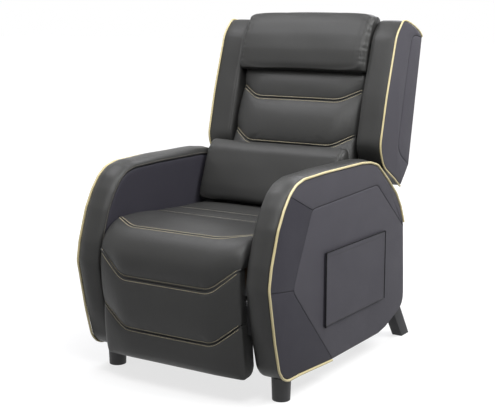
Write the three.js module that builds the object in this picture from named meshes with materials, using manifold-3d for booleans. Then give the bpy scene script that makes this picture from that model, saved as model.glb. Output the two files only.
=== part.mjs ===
// Push-back reclining armchair with a swing-out footrest, in millimetres.
// +Z is up, the sitter faces -Y, and +X is the sitter's left. Floor at Z = 0.
// The chair is drawn with Y = 0 at the middle of the arms, then moved to its centre.
import * as THREE from 'three';
import { mergeVertices } from 'three/addons/utils/BufferGeometryUtils.js';
import Module from 'manifold-3d';

const wasm = await Module();
wasm.setup();

// Overall sizes
const CHAIR_WIDTH = 680;
const ARM_WIDTH = 82;
const ARM_DEPTH = 850;
const ARM_TOP = 630;
const SEAT_GAP = 8;
const CENTRE_BEHIND_ARM_MIDDLE = 52;
const ARM_INNER = CHAIR_WIDTH / 2 - ARM_WIDTH;
const SEAT_HALF = ARM_INNER - SEAT_GAP;

// Gap between pieces that touch, and how far a cutter runs past what it cuts
const FIT = 0.3;
const OVERRUN = 5;

// Arms
const PIPING_RADIUS = 3.2;
const ARM_UNDERSIDE_SHARE = 0.1111;
const PANEL_THICKNESS = 4;
const INNER_PANEL_THICKNESS = 6;
const COVER_THICKNESS = 15;
const COVER_EDGE = 12;
const COVER_EDGE_SHARES = [[0, 1], [0.33, 0.42]];
const COVER_CROWN = 10;
const COVER_CROWN_SHARES = [[0.16, 0.2], [0.3, 0.75], [0.52, 1], [0.74, 0.8], [0.9, 0.35]];
const CROWN_FOOT_SHARE = 0.19;
const CROWN_RISE_SHARE = 0.2;
const PANEL_MARGIN = 1;
const PANEL_INSET = PIPING_RADIUS + PANEL_MARGIN;
const SEAM_WIDTH = 3;
const SEAM_DEPTH = 1.2;

// Pocket on the sitter's left arm
const POCKET_FRONT_Y = -120;
const POCKET_DEPTH = 385;
const POCKET_BOTTOM = 176;
const POCKET_HEIGHT = 221;
const POCKET_ROOM = 5;
const POCKET_SHEET = 1.5;
const POCKET_SEAM = 6;

// Feet
const FOOT_TOP_RADIUS = 28.5;
const FOOT_BOTTOM_RADIUS = 26;
const FOOT_EDGE = 2;
const FRONT_FOOT_FROM_INSIDE = 40;
const FRONT_FOOT_FROM_MIDDLE = 291;
const REAR_FOOT_FROM_INSIDE = 30;
const REAR_FOOT_WIDTH = 36;
const REAR_FOOT_BEHIND_ARM = 25;
const REAR_FOOT_DEPTH = 55;
const REAR_FOOT_SHARES = { topFront: 0.62, topRear: 0.97 };

// Steel of the mechanism
const STEEL = 3;
const LINK_GAP = 1.2;
const LINK_HALF_WIDTH = 10;
const EYE_RADIUS = 11;
const PIN_RADIUS = 4;
const PIN_PLAY = 0.6;
const HEAD_RADIUS = 7;
const HEAD_THICKNESS = 1.5;
const RAIL_SIZE = 25;
const RAIL_WALL = 2;
const RAIL_Z = 362;
const FRONT_RAIL_Y = -330;
const REAR_RAIL_Y = 120;
const PLATE_BORDER = 22;

// Footrest linkage: two pairs of parallel links on each side
const SWING_PIVOT_Y = -235;
const SWING_PIVOT_Z = 340;
const SWING_RUN_Y = 100;
const SWING_RUN_Z = -225;
const CARRY_RUN_Y = -210;
const CARRY_RUN_Z = 110;
const GUIDE_SPACING_SHARE = 0.35;
const CARRIER_SPACING_SHARE = 0.22;
const CRANK_RADIUS = 41.4;
const CRANK_REST_DEG = 45;
const DRIVE_TUBE_RADIUS = 9;
const DRIVE_TUBE_SHARE = 0.42;
const TUBE_SIDES = 20;

// Back pivot and push rod
const BACK_PIVOT_Y = 232;
const BACK_PIVOT_Z = 402;
const BACK_LEAN_DEG = 20.7;
const BACK_PIN_RADIUS = 6;
const BACK_CRANK_RADIUS = 72;
const BACK_CRANK_REST_DEG = 24;
const ROD_SLOT_TRAVEL = 7;
const ROD_SLOT_PLAY = 1.6;

// Rear stretcher between the arms
const STRETCHER_FROM_REAR = 53;
const STRETCHER_BOTTOM = 110;
const STRETCHER_THICKNESS = 20;
const STRETCHER_HEIGHT = 120;

// Seat
const SEAT_BOARD = 25;
const SEAT_FRAME_FRONT = -385;
const SEAT_FRAME_REAR = 145;
const SEAT_FRAME_RAIL = 46;
const APRON_THICKNESS = 15;
const APRON_DROP = 40;
const SPRING_WIRE = 1.9;
const SPRING_WIDTH = 46;
const SPRING_PITCH = 32;
const SPRING_OVERLAP = 16;
const SPRING_SHARES = [-0.66, -0.33, 0, 0.33, 0.66];
const SPRING_TENSION_SHARE = 0.9;
const CUSHION_SEAM_PINCH = 4;
const CUSHION_FALL_SHARE = 0.85;
const CUSHION_FALL_POWER = 6;
const COLUMN_SHARES = [0, 0.32, 0.63, 0.8, 0.92, 0.98, 1];
const CHEVRON_HALF = 157;
const FOLD_GAP = 3;

// Seat cushion and footrest seams, as Y and Z at the middle and at the side edges
const SEAT_REAR = { y: 150, z: 455 };
const SEAT_SEAM_A = { y: -45, z: 463 };
const SEAT_SEAM_B = { y: -155, z: 468 };
const SEAT_EDGE_MIDDLE = { y: -386, z: 467 };
const SEAT_EDGE_SIDE = { y: -331, z: 478 };
const FOLD_MIDDLE = { y: -440, z: 325 };
const FOLD_SIDE = { y: -425, z: 396 };
const REST_SEAM_MIDDLE = { y: -427, z: 170 };
const REST_SEAM_SIDE = { y: -416, z: 237 };
const REST_END_MIDDLE = { y: -402, z: 76 };
const REST_END_SIDE = { y: -392, z: 82 };
const SEAT_SWELL = 7;
const ROLL_SWELL = 34;
const REST_SWELL = 13;
const REST_PAD_MARGIN = 3;

// Footrest board
const REST_BOARD = 14;
const REST_BOARD_LEAN_DEG = 5;
const REST_BOARD_Y = -378;
const REST_BOARD_Z = 177;
const REST_BOARD_FROM_ARM = 26;
const REST_BOARD_DOWN = 85;
const REST_BOARD_TOP = 141;
const REST_BOARD_EAR = 66;
const BRACKET_FLANGE = 52;

// Back, in its own frame: Z along the back from the pivot, Y to the rear
const BACK_HEIGHT = 678;
const BACK_FROM_ARM = 22;
const BACK_HALF = ARM_INNER - BACK_FROM_ARM;
const WING_FROM_SIDE = 12.5;
const WING_OUTER = CHAIR_WIDTH / 2 - WING_FROM_SIDE;
const WING_DEPTH = 254;
const WING_EDGE = 5.5;
const WING_ROUND = 16;
const WING_PIPING_RADIUS = 3;
const BACK_FRAME_FRONT = -13;
const BACK_FRAME_DEPTH = 88;
const BACK_FRAME_BOTTOM = 24;
const BACK_FRAME_RAIL = 42;
const BACK_EAR_TOP = 164;
const WEBBING_THICKNESS = 1.5;
const WEBBING_WIDTH = 50;
const WEBBING_SHARES = [0.25, 0.42, 0.59, 0.76];
const BACK_PAD_MARGIN = 4;
const BACK_PAD_HALF = BACK_HALF - BACK_PAD_MARGIN;
const BACK_PAD_REAR = BACK_FRAME_FRONT - WEBBING_THICKNESS - 2 * FIT;
const BACK_SWELL = 15;
const REAR_COVER_STEP = 1;

// Seams of the back pad from its foot up: heights as shares of the back's height at the
// middle and the sides, and how far each lies in front of the pivot there
const BACK_SEAM_SHARES = [[0.045, 0.045], [0.348, 0.42], [0.575, 0.64], [0.735, 0.75], [0.98, 0.98]];
const BACK_SEAM_BACK_SHARES = [0.045, 0.36, 0.58, 0.74, 0.98];
const BACK_SEAM_FRONTS = [[-89, -70], [-87, -63], [-86, -64], [-60, -52], [-52, -50]];
const BACK_SEAM_SWELL_SHARES = [1, 1, 0.5, 0, 0];

// Pillows on the back: half width, half thickness, half height and centre
const HEAD_PILLOW_DROP = 94;
const HEAD_PILLOW = {
  half: BACK_HALF - FIT, thick: 36, high: 103, y: -98, z: BACK_HEIGHT - HEAD_PILLOW_DROP };
const LUMBAR_PILLOW = { half: SEAT_HALF, thick: 41, high: 99, y: -143.9, z: 117 };
const PILLOW_SQUARENESS = 3.4;

// Towards a pillow's end: shares of its half width, thickness and height
const PILLOW_END_SHARES = [
  [0.45, 1, 1], [0.82, 0.96, 0.985], [0.94, 0.8, 0.95], [0.985, 0.6, 0.9], [1, 0.35, 0.82],
];

// Colours
const LEATHER = 0x2f2f31;
const PANEL_LEATHER = 0x3a393f;
const GOLD = 0xd8c68c;
const STEEL_COLOUR = 0x1d1d1f;
const WOOD = 0xb08a5c;
const WEBBING = 0x1c1c1c;
const FOOT_PLASTIC = 0x161617;

const BASIS_ACROSS = new THREE.Matrix4().makeBasis(
  new THREE.Vector3(0, 1, 0), new THREE.Vector3(0, 0, 1), new THREE.Vector3(1, 0, 0));

// Solids are kept as plain position geometry so that they can be cut and joined.
function plain(geometry) {
  const bare = geometry.index ? geometry.clone() : mergeVertices(stripped(geometry));
  return mergeVertices(stripped(bare));
}

function stripped(geometry) {
  const copy = geometry.clone();
  copy.deleteAttribute('normal');
  copy.deleteAttribute('uv');
  return copy;
}

function toSolid(geometry) {
  const merged = plain(geometry);
  return new wasm.Manifold(new wasm.Mesh({
    numProp: 3,
    vertProperties: new Float32Array(merged.attributes.position.array),
    triVerts: new Uint32Array(merged.index.array),
  }));
}

function fromSolid(body) {
  const mesh = body.getMesh();
  const geometry = new THREE.BufferGeometry();
  geometry.setAttribute('position', new THREE.BufferAttribute(mesh.vertProperties, 3));
  geometry.setIndex(new THREE.BufferAttribute(mesh.triVerts, 1));
  return geometry;
}

function join(...geometries) {
  return fromSolid(geometries.map(toSolid).reduce((whole, next) => whole.add(next)));
}

function cut(geometry, ...cutters) {
  return fromSolid(cutters.map(toSolid).reduce((whole, next) => whole.subtract(next), toSolid(geometry)));
}

function mirrored(geometry) {
  const copy = plain(geometry);
  copy.scale(-1, 1, 1);
  const index = copy.index.array;
  for (let i = 0; i < index.length; i += 3) {
    const first = index[i];
    index[i] = index[i + 1];
    index[i + 1] = first;
  }
  return copy;
}

// Flat outlines are lists of [y, z], walked anticlockwise as seen from +X.
function anticlockwise(points) {
  const area = THREE.ShapeUtils.area(points.map(([y, z]) => new THREE.Vector2(y, z)));
  return area < 0 ? [...points].reverse() : points;
}

function fromShares(shares, depth, height) {
  return shares.map(([y, z]) => [y * depth, z * height]);
}

function inset(points, distance) {
  return points.map(([y, z], i) => {
    const before = points[(i + points.length - 1) % points.length];
    const after = points[(i + 1) % points.length];
    const arriving = new THREE.Vector2(y - before[0], z - before[1]).normalize();
    const leaving = new THREE.Vector2(after[0] - y, after[1] - z).normalize();
    const sideways = new THREE.Vector2(-arriving.y - leaving.y, arriving.x + leaving.x);
    const reach = distance / (1 + arriving.dot(leaving));
    return [y + sideways.x * reach, z + sideways.y * reach];
  });
}

function shapeOf(points) {
  return new THREE.Shape(points.map(([a, b]) => new THREE.Vector2(a, b)));
}

// Extrudes a side-view shape from x = from to x = to.
function across(shape, from, to, segments = 5) {
  const geometry = new THREE.ExtrudeGeometry(shape, {
    depth: to - from, bevelEnabled: false, curveSegments: segments });
  geometry.applyMatrix4(BASIS_ACROSS);
  geometry.translate(from, 0, 0);
  return geometry;
}

function block(x0, x1, y0, y1, z0, z1) {
  const geometry = new THREE.BoxGeometry(x1 - x0, y1 - y0, z1 - z0);
  geometry.translate((x0 + x1) / 2, (y0 + y1) / 2, (z0 + z1) / 2);
  return geometry;
}

function roundBar(y, z, radius, from, to, sides = 10) {
  const geometry = new THREE.CylinderGeometry(radius, radius, Math.abs(to - from), sides);
  geometry.rotateZ(Math.PI / 2);
  geometry.translate((from + to) / 2, y, z);
  return geometry;
}

// Joins loops of the same number of points, one at each x, and closes both ends.
function loft(sections) {
  const count = sections[0].loop.length;
  const positions = sections.flatMap(({ x, loop }) => loop.flatMap(([y, z]) => [x, y, z]));
  const index = [];
  for (let s = 0; s + 1 < sections.length; s += 1) {
    for (let i = 0; i < count; i += 1) {
      const a = s * count + i;
      const b = s * count + (i + 1) % count;
      index.push(a, b, b + count, a, b + count, a + count);
    }
  }
  const last = sections.length - 1;
  addCap(index, sections[0].loop, 0, true);
  addCap(index, sections[last].loop, last * count, false);
  return indexed(positions, index);
}

function addCap(index, loop, offset, facesBack) {
  const contour = loop.map(([y, z]) => new THREE.Vector2(y, z));
  for (const [a, b, c] of THREE.ShapeUtils.triangulateShape(contour, [])) {
    index.push(...(facesBack ? [offset + c, offset + b, offset + a] : [offset + a, offset + b, offset + c]));
  }
}

// A ring between an outer loop that changes along x and a steady inner loop.
function loftRing(sections, innerLoop) {
  const outer = loft(sections);
  const ends = [sections[0].x - OVERRUN, sections[sections.length - 1].x + OVERRUN];
  return cut(outer, loft(ends.map((x) => ({ x, loop: innerLoop }))));
}

function indexed(positions, index) {
  const geometry = new THREE.BufferGeometry();
  geometry.setAttribute('position', new THREE.Float32BufferAttribute(positions, 3));
  geometry.setIndex(index);
  return geometry;
}

function tube(points, radius, sides, steps, tension) {
  const path = new THREE.CatmullRomCurve3(points, false, 'catmullrom', tension);
  const circle = new THREE.Shape();
  circle.absarc(0, 0, radius, 0, 2 * Math.PI, false);
  return new THREE.ExtrudeGeometry(circle, {
    steps, curveSegments: sides / 2, extrudePath: path, bevelEnabled: false });
}

// Piping along part of a flat outline, mitred at its corners: its centre line lies at
// the given x and inset, and runs over `count` outline points from the first one.
function pipingAlong({ outline, x, centreInset, radius, first, count, sides = 8 }) {
  const threads = Array.from({ length: sides }, (_, k) => {
    const angle = (2 * Math.PI * k) / sides;
    return { x: x + radius * Math.cos(angle), line: inset(outline, centreInset + radius * Math.sin(angle)) };
  });
  const positions = Array.from({ length: count }, (_, i) => threads.flatMap((thread) => [
    thread.x, ...thread.line[(first + i) % outline.length]])).flat();
  const index = [];
  for (let i = 0; i + 1 < count; i += 1) {
    for (let k = 0; k < sides; k += 1) {
      const a = i * sides + k;
      const b = i * sides + (k + 1) % sides;
      index.push(a, b, b + sides, a, b + sides, a + sides);
    }
  }
  const end = (count - 1) * sides;
  for (let k = 1; k + 1 < sides; k += 1) {
    index.push(0, k + 1, k, end, end + k, end + k + 1);
  }
  return outwards(indexed(positions, index));
}

// A straight link between two points with round ends and a hole at each pivot.
function linkShape(from, to, halfWidth, holes, holeRadius) {
  const along = Math.atan2(to[1] - from[1], to[0] - from[0]);
  const shape = new THREE.Shape();
  shape.absarc(from[0], from[1], halfWidth, along + Math.PI / 2, along + 3 * Math.PI / 2, false);
  shape.absarc(to[0], to[1], halfWidth, along - Math.PI / 2, along + Math.PI / 2, false);
  for (const [y, z] of holes) {
    shape.holes.push(new THREE.Path().absarc(y, z, holeRadius, 0, 2 * Math.PI, true));
  }
  return shape;
}

// The flat plate whose edge is stretched around a set of bosses { y, z, r }.
function plateAround(bosses, sides = 14) {
  const cloud = bosses.flatMap(({ y, z, r }) => Array.from({ length: sides }, (_, i) => {
    const angle = (2 * Math.PI * i) / sides;
    return [y + r * Math.cos(angle), z + r * Math.sin(angle)];
  }));
  cloud.sort((a, b) => a[0] - b[0] || a[1] - b[1]);
  const turn = (o, a, b) => (a[0] - o[0]) * (b[1] - o[1]) - (a[1] - o[1]) * (b[0] - o[0]);
  const chain = (points) => {
    const kept = [];
    for (const point of points) {
      while (kept.length > 1 && turn(kept[kept.length - 2], kept[kept.length - 1], point) <= 0) {
        kept.pop();
      }
      kept.push(point);
    }
    return kept.slice(0, -1);
  };
  return shapeOf([...chain(cloud), ...chain([...cloud].reverse())]);
}

function withHoles(shape, centres, radius) {
  for (const [y, z] of centres) {
    shape.holes.push(new THREE.Path().absarc(y, z, radius, 0, 2 * Math.PI, true));
  }
  return shape;
}

// Padding sewn down along cross seams. Each row is a seam, given at the middle and at
// the sides of the pad, and swells to the next row. The inner side is the backing.
function quiltedPad({ rows, half, kink, steps, pinch, columnShares }) {
  const columns = [...columnShares.map((share) => -share).reverse().slice(0, -1), ...columnShares];
  const mix = (a, b, t) => [a[0] + (b[0] - a[0]) * t, a[1] + (b[1] - a[1]) * t];
  const outer = [];
  const inner = [];
  for (let r = 0; r + 1 < rows.length; r += 1) {
    const [here, next] = [rows[r], rows[r + 1]];
    const stop = r + 2 === rows.length ? steps : steps - 1;
    for (let s = 0; s <= stop; s += 1) {
      const t = s / steps;
      const hump = Math.sqrt(Math.max(0, 4 * t * (1 - t)));
      outer.push(columns.map((share) => {
        const bend = Math.max(0, (Math.abs(share) * half - kink) / (half - kink));
        const from = mix(here.middle, here.side, bend);
        const to = mix(next.middle, next.side, bend);
        const [y, z] = mix(from, to, t);
        const length = Math.hypot(to[0] - from[0], to[1] - from[1]);
        const swell = here.swell * hump * Math.sqrt(1 - CUSHION_FALL_SHARE * share ** CUSHION_FALL_POWER);
        const out = [-(to[1] - from[1]) / length, (to[0] - from[0]) / length];
        const x = share * (half - pinch * (1 - hump));
        return [x, y + out[0] * swell, z + out[1] * swell];
      }));
      inner.push(columns.map((share) => {
        const bend = Math.max(0, (Math.abs(share) * half - kink) / (half - kink));
        const from = mix(here.backMiddle, here.backSide, bend);
        const to = mix(next.backMiddle, next.backSide, bend);
        const [y, z] = mix(from, to, t);
        return [share * (half - pinch), y, z];
      }));
    }
  }
  return closedSheet(outer, inner);
}

function closedSheet(outer, inner) {
  const rows = outer.length;
  const columns = outer[0].length;
  const positions = [...outer.flat(2), ...inner.flat(2)];
  const back = rows * columns;
  const at = (r, c) => r * columns + c;
  const index = [];
  const quad = (a, b, c, d) => index.push(a, b, c, a, c, d);
  for (let r = 0; r + 1 < rows; r += 1) {
    for (let c = 0; c + 1 < columns; c += 1) {
      quad(at(r, c), at(r, c + 1), at(r + 1, c + 1), at(r + 1, c));
      quad(back + at(r, c), back + at(r + 1, c), back + at(r + 1, c + 1), back + at(r, c + 1));
    }
    quad(at(r, 0), at(r + 1, 0), back + at(r + 1, 0), back + at(r, 0));
    const end = columns - 1;
    quad(at(r, end), back + at(r, end), back + at(r + 1, end), at(r + 1, end));
  }
  for (let c = 0; c + 1 < columns; c += 1) {
    quad(at(0, c), back + at(0, c), back + at(0, c + 1), at(0, c + 1));
    quad(at(rows - 1, c), at(rows - 1, c + 1), back + at(rows - 1, c + 1), back + at(rows - 1, c));
  }
  return outwards(indexed(positions, index));
}

// Turns every face of a closed mesh the other way if its volume comes out negative.
function outwards(geometry) {
  const p = geometry.attributes.position.array;
  const index = geometry.index.array;
  let volume = 0;
  for (let i = 0; i < index.length; i += 3) {
    const [a, b, c] = [index[i] * 3, index[i + 1] * 3, index[i + 2] * 3];
    volume += p[a] * (p[b + 1] * p[c + 2] - p[b + 2] * p[c + 1])
      - p[a + 1] * (p[b] * p[c + 2] - p[b + 2] * p[c])
      + p[a + 2] * (p[b] * p[c + 1] - p[b + 1] * p[c]);
  }
  if (volume < 0) {
    for (let i = 0; i < index.length; i += 3) {
      [index[i], index[i + 1]] = [index[i + 1], index[i]];
    }
  }
  return geometry;
}

// A stuffed pillow lying across the chair, drawn in towards its two ends.
function pillow({ half, thick, high, y, z }, sides = 20) {
  const loopAt = (thin, low) => Array.from({ length: sides }, (_, i) => {
    const angle = (2 * Math.PI * i) / sides;
    const power = 2 / PILLOW_SQUARENESS;
    const side = (value) => Math.sign(value) * Math.abs(value) ** power;
    return [y + thick * thin * side(Math.cos(angle)), z + high * low * side(Math.sin(angle))];
  });
  const oneSide = PILLOW_END_SHARES.map(([out, thin, low]) => ({ x: half * out, loop: loopAt(thin, low) }));
  const otherSide = oneSide.map(({ x, loop }) => ({ x: -x, loop })).reverse();
  return loft([...otherSide, ...oneSide]);
}

const recliner = new THREE.Group();
recliner.position.y = -CENTRE_BEHIND_ARM_MIDDLE;
const back = new THREE.Group();
back.position.set(0, BACK_PIVOT_Y, BACK_PIVOT_Z);
back.rotation.x = -THREE.MathUtils.degToRad(BACK_LEAN_DEG);
recliner.add(back);

const FINISHES = {
  leather: [LEATHER, 0.5, 0],
  panel: [PANEL_LEATHER, 0.65, 0],
  gold: [GOLD, 0.45, 0],
  steel: [STEEL_COLOUR, 0.4, 0.8],
  wood: [WOOD, 0.8, 0],
  webbing: [WEBBING, 0.9, 0],
  plastic: [FOOT_PLASTIC, 0.6, 0],
};

function addPiece(parent, name, geometry, finish) {
  const [color, roughness, metalness] = FINISHES[finish];
  const mesh = new THREE.Mesh(geometry, new THREE.MeshStandardMaterial({ color, roughness, metalness }));
  mesh.name = name;
  parent.add(mesh);
}

// A left piece is drawn at +X, and the right one is its mirror image.
function addPair(parent, name, geometry, finish) {
  addPiece(parent, `${name}_left`, geometry, finish);
  addPiece(parent, `${name}_right`, mirrored(geometry), finish);
}

// Arms: a plywood ring, an upholstered band round its edge, an inner and an outer panel,
// and piping along the outer edge from the seam in the underside to the rear slope.
const ARM_SHARES = [
  [-0.0647, 0.0952], [0.294, 0.0984], [0.347, ARM_UNDERSIDE_SHARE], [0.507, 0.1873], [0.5, 0.3794],
  [0.4871, 0.6349], [0.4553, 0.727], [0.4141, 0.8016], [0.3376, 0.8873], [0.2541, 0.9714],
  [0.1953, 0.9921], [0.1282, 1], [-0.1412, 1], [-0.2824, 0.9937], [-0.3329, 0.9762],
  [-0.3718, 0.9397], [-0.4071, 0.881], [-0.4424, 0.7984], [-0.4812, 0.646], [-0.4941, 0.554],
  [-0.4576, 0.3063], [-0.4306, 0.1714], [-0.4071, 0.1302],
  [-0.3741, ARM_UNDERSIDE_SHARE], [-0.3, ARM_UNDERSIDE_SHARE],
];
const ARM_WINDOW_SHARES = [
  [-0.35, 0.24], [0.34, 0.26], [0.42, 0.36], [0.41, 0.63], [0.25, 0.85], [-0.27, 0.87], [-0.41, 0.56],
];
const ARM_PIPING_FIRST = 5;
const ARM_PIPING_POINTS = 21;
const armOutline = anticlockwise(fromShares(ARM_SHARES, ARM_DEPTH, ARM_TOP));
const armWindow = anticlockwise(fromShares(ARM_WINDOW_SHARES, ARM_DEPTH, ARM_TOP));
const coverOuter = CHAIR_WIDTH / 2 - 2 * PIPING_RADIUS - FIT;
// The padding swells the band's middle, but not where the feet and their slopes are.
const crowned = (share) => inset(armOutline, -share * COVER_CROWN).map(([y, z], i) => {
  const [flatY, flatZ] = armOutline[i];
  const rise = (flatZ / ARM_TOP - CROWN_FOOT_SHARE) / CROWN_RISE_SHARE;
  const weight = Math.min(1, Math.max(0, rise));
  return [flatY + (y - flatY) * weight, flatZ + (z - flatZ) * weight];
});
const coverSections = [
  ...COVER_EDGE_SHARES.map(([out, inwards]) => ({
    x: ARM_INNER + out * COVER_EDGE, loop: inset(armOutline, inwards * COVER_EDGE) })),
  ...COVER_CROWN_SHARES.map(([out, share]) => ({
    x: ARM_INNER + out * (coverOuter - ARM_INNER), loop: crowned(share) })),
  { x: coverOuter, loop: armOutline },
];
const armHollow = inset(armOutline, COVER_THICKNESS);
addPair(recliner, 'arm_cover', loftRing(coverSections, armHollow), 'leather');

const armInside = inset(armOutline, COVER_THICKNESS + FIT);
const innerPanelEnd = ARM_INNER + INNER_PANEL_THICKNESS;
addPair(recliner, 'arm_inner_panel', across(shapeOf(armInside), ARM_INNER, innerPanelEnd), 'panel');
const armBoards = across(shapeOf(armInside), innerPanelEnd + FIT, coverOuter);
const armCutter = across(shapeOf(armWindow), innerPanelEnd - OVERRUN, coverOuter + OVERRUN);
addPair(recliner, 'arm_frame', cut(armBoards, armCutter), 'wood');

// The outer panel is sewn from facets, so its face carries a groove along each seam.
const PANEL_CORNER_SHARES = {
  topFront: [-0.2247, 0.8492], topRear: [0.2529, 0.873], knee: [-0.3494, 0.5095], foot: [-0.0753, 0.0952],
  topEdge: [-0.3718, 0.9397], rearEdge: [0.4871, 0.6159], frontEdge: [-0.4941, 0.5365],
};
const PANEL_SEAMS = [
  ['topEdge', 'topFront'], ['topFront', 'topRear'], ['topRear', 'rearEdge'],
  ['topFront', 'knee'], ['knee', 'frontEdge'], ['knee', 'foot'],
];
const panelFrom = coverOuter + FIT;
const panelFace = panelFrom + PANEL_THICKNESS;

function seamCutter(from, to) {
  const [a, b] = [from, to].map(([y, z]) => [y * ARM_DEPTH, z * ARM_TOP]);
  const length = Math.hypot(b[0] - a[0], b[1] - a[1]);
  const section = shapeOf([[-SEAM_DEPTH, 0], [0, -SEAM_WIDTH / 2], [SEAM_DEPTH, 0], [0, SEAM_WIDTH / 2]]);
  const groove = new THREE.ExtrudeGeometry(section, { depth: length + SEAM_WIDTH, bevelEnabled: false });
  groove.translate(0, 0, -SEAM_WIDTH / 2);
  groove.applyMatrix4(new THREE.Matrix4().makeBasis(
    new THREE.Vector3(1, 0, 0),
    new THREE.Vector3(0, -(b[1] - a[1]) / length, (b[0] - a[0]) / length).negate(),
    new THREE.Vector3(0, (b[0] - a[0]) / length, (b[1] - a[1]) / length)));
  groove.translate(panelFace, a[0], a[1]);
  return groove;
}

const panelPlate = across(shapeOf(inset(armOutline, PANEL_INSET)), panelFrom, panelFace);
const panelGrooves = PANEL_SEAMS.map(([from, to]) => seamCutter(
  PANEL_CORNER_SHARES[from], PANEL_CORNER_SHARES[to]));
addPair(recliner, 'arm_outer_panel', cut(panelPlate, ...panelGrooves), 'panel');

const armPiping = pipingAlong({
  outline: armOutline, x: CHAIR_WIDTH / 2 - PIPING_RADIUS, centreInset: PIPING_RADIUS / 6,
  radius: PIPING_RADIUS, first: ARM_PIPING_FIRST, count: ARM_PIPING_POINTS });
addPair(recliner, 'arm_piping', armPiping, 'gold');

// Side pocket: a U-shaped gusset sewn to the panel, and a flat front sheet with a hem.
const pocketRear = POCKET_FRONT_Y + POCKET_DEPTH;
const pocketTop = POCKET_BOTTOM + POCKET_HEIGHT;
const pocketBack = panelFace + FIT;
const gussetShape = shapeOf([
  [POCKET_FRONT_Y, POCKET_BOTTOM], [pocketRear, POCKET_BOTTOM], [pocketRear, pocketTop],
  [pocketRear - POCKET_SEAM, pocketTop], [pocketRear - POCKET_SEAM, POCKET_BOTTOM + POCKET_SEAM],
  [POCKET_FRONT_Y + POCKET_SEAM, POCKET_BOTTOM + POCKET_SEAM], [POCKET_FRONT_Y + POCKET_SEAM, pocketTop],
  [POCKET_FRONT_Y, pocketTop],
]);
addPiece(recliner, 'pocket_gusset', across(gussetShape, pocketBack, pocketBack + POCKET_ROOM), 'panel');
const sheetFrom = pocketBack + POCKET_ROOM + FIT;
addPiece(recliner, 'pocket_front', block(
  sheetFrom, sheetFrom + POCKET_SHEET, POCKET_FRONT_Y, pocketRear, POCKET_BOTTOM, pocketTop), 'panel');

// Feet: turned tapered ones in front, raked rectangular ones behind.
const footTop = ARM_UNDERSIDE_SHARE * ARM_TOP - FIT;
const footProfile = [
  [0, 0], [FOOT_BOTTOM_RADIUS - FOOT_EDGE, 0], [FOOT_BOTTOM_RADIUS, FOOT_EDGE], [FOOT_TOP_RADIUS, footTop],
  [0, footTop],
].map(([radius, height]) => new THREE.Vector2(radius, height));
const frontFoot = new THREE.LatheGeometry(footProfile, 28);
frontFoot.rotateX(Math.PI / 2);
frontFoot.translate(ARM_INNER + FRONT_FOOT_FROM_INSIDE, -FRONT_FOOT_FROM_MIDDLE, 0);
addPair(recliner, 'front_foot', frontFoot, 'plastic');

const [chamferLow, chamferHigh] = [armOutline[2], armOutline[3]];
const onChamfer = (share) => [
  chamferLow[0] + (chamferHigh[0] - chamferLow[0]) * share,
  chamferLow[1] + (chamferHigh[1] - chamferLow[1]) * share - 2 * FIT,
];
const rearFootFront = ARM_DEPTH / 2 + REAR_FOOT_BEHIND_ARM;
const rearFootFrom = ARM_INNER + REAR_FOOT_FROM_INSIDE;
const rearFootShape = shapeOf([
  [rearFootFront, 0], [rearFootFront + REAR_FOOT_DEPTH, 0],
  onChamfer(REAR_FOOT_SHARES.topRear), onChamfer(REAR_FOOT_SHARES.topFront),
]);
const rearFoot = across(rearFootShape, rearFootFrom, rearFootFrom + REAR_FOOT_WIDTH);
addPair(recliner, 'rear_foot', rearFoot, 'plastic');

// Mechanism: steel plates and links lie in layers, counted inwards from the arm.
const layerOuter = (layer) => ARM_INNER - FIT - layer * (STEEL + LINK_GAP);
const layerInner = (layer) => layerOuter(layer) - STEEL;
const offsetPoint = (point, y, z) => [point[0] + y, point[1] + z];
const swingPivot = [SWING_PIVOT_Y, SWING_PIVOT_Z];
const guidePivot = offsetPoint(
  swingPivot, -CARRY_RUN_Y * GUIDE_SPACING_SHARE, -CARRY_RUN_Z * GUIDE_SPACING_SHARE);
const swingEnd = offsetPoint(swingPivot, SWING_RUN_Y, SWING_RUN_Z);
const guideEnd = offsetPoint(guidePivot, SWING_RUN_Y, SWING_RUN_Z);
const swingMiddle = offsetPoint(
  swingPivot, SWING_RUN_Y * (1 - CARRIER_SPACING_SHARE), SWING_RUN_Z * (1 - CARRIER_SPACING_SHARE));
const lowerHinge = offsetPoint(swingEnd, CARRY_RUN_Y, CARRY_RUN_Z);
const upperHinge = offsetPoint(swingMiddle, CARRY_RUN_Y, CARRY_RUN_Z);
const backPivot = [BACK_PIVOT_Y, BACK_PIVOT_Z];
const polar = (centre, radius, degrees) => offsetPoint(
  centre, radius * Math.sin(THREE.MathUtils.degToRad(degrees)),
  -radius * Math.cos(THREE.MathUtils.degToRad(degrees)));
const crankPin = polar(swingPivot, CRANK_RADIUS, CRANK_REST_DEG);
const rodPin = polar(backPivot, BACK_CRANK_RADIUS, BACK_CRANK_REST_DEG);
const EYE = PIN_RADIUS + PIN_PLAY;

// A riveted pin that leaves one layer, passes an eye in another and ends in a head.
function rivet([y, z], from, to, radius = PIN_RADIUS) {
  const inward = Math.sign(to - from);
  const head = to + inward * (FIT + HEAD_THICKNESS);
  const headRadius = radius + HEAD_RADIUS - PIN_RADIUS;
  return join(roundBar(y, z, radius, from, head), roundBar(y, z, headRadius, to + inward * FIT, head));
}

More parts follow.
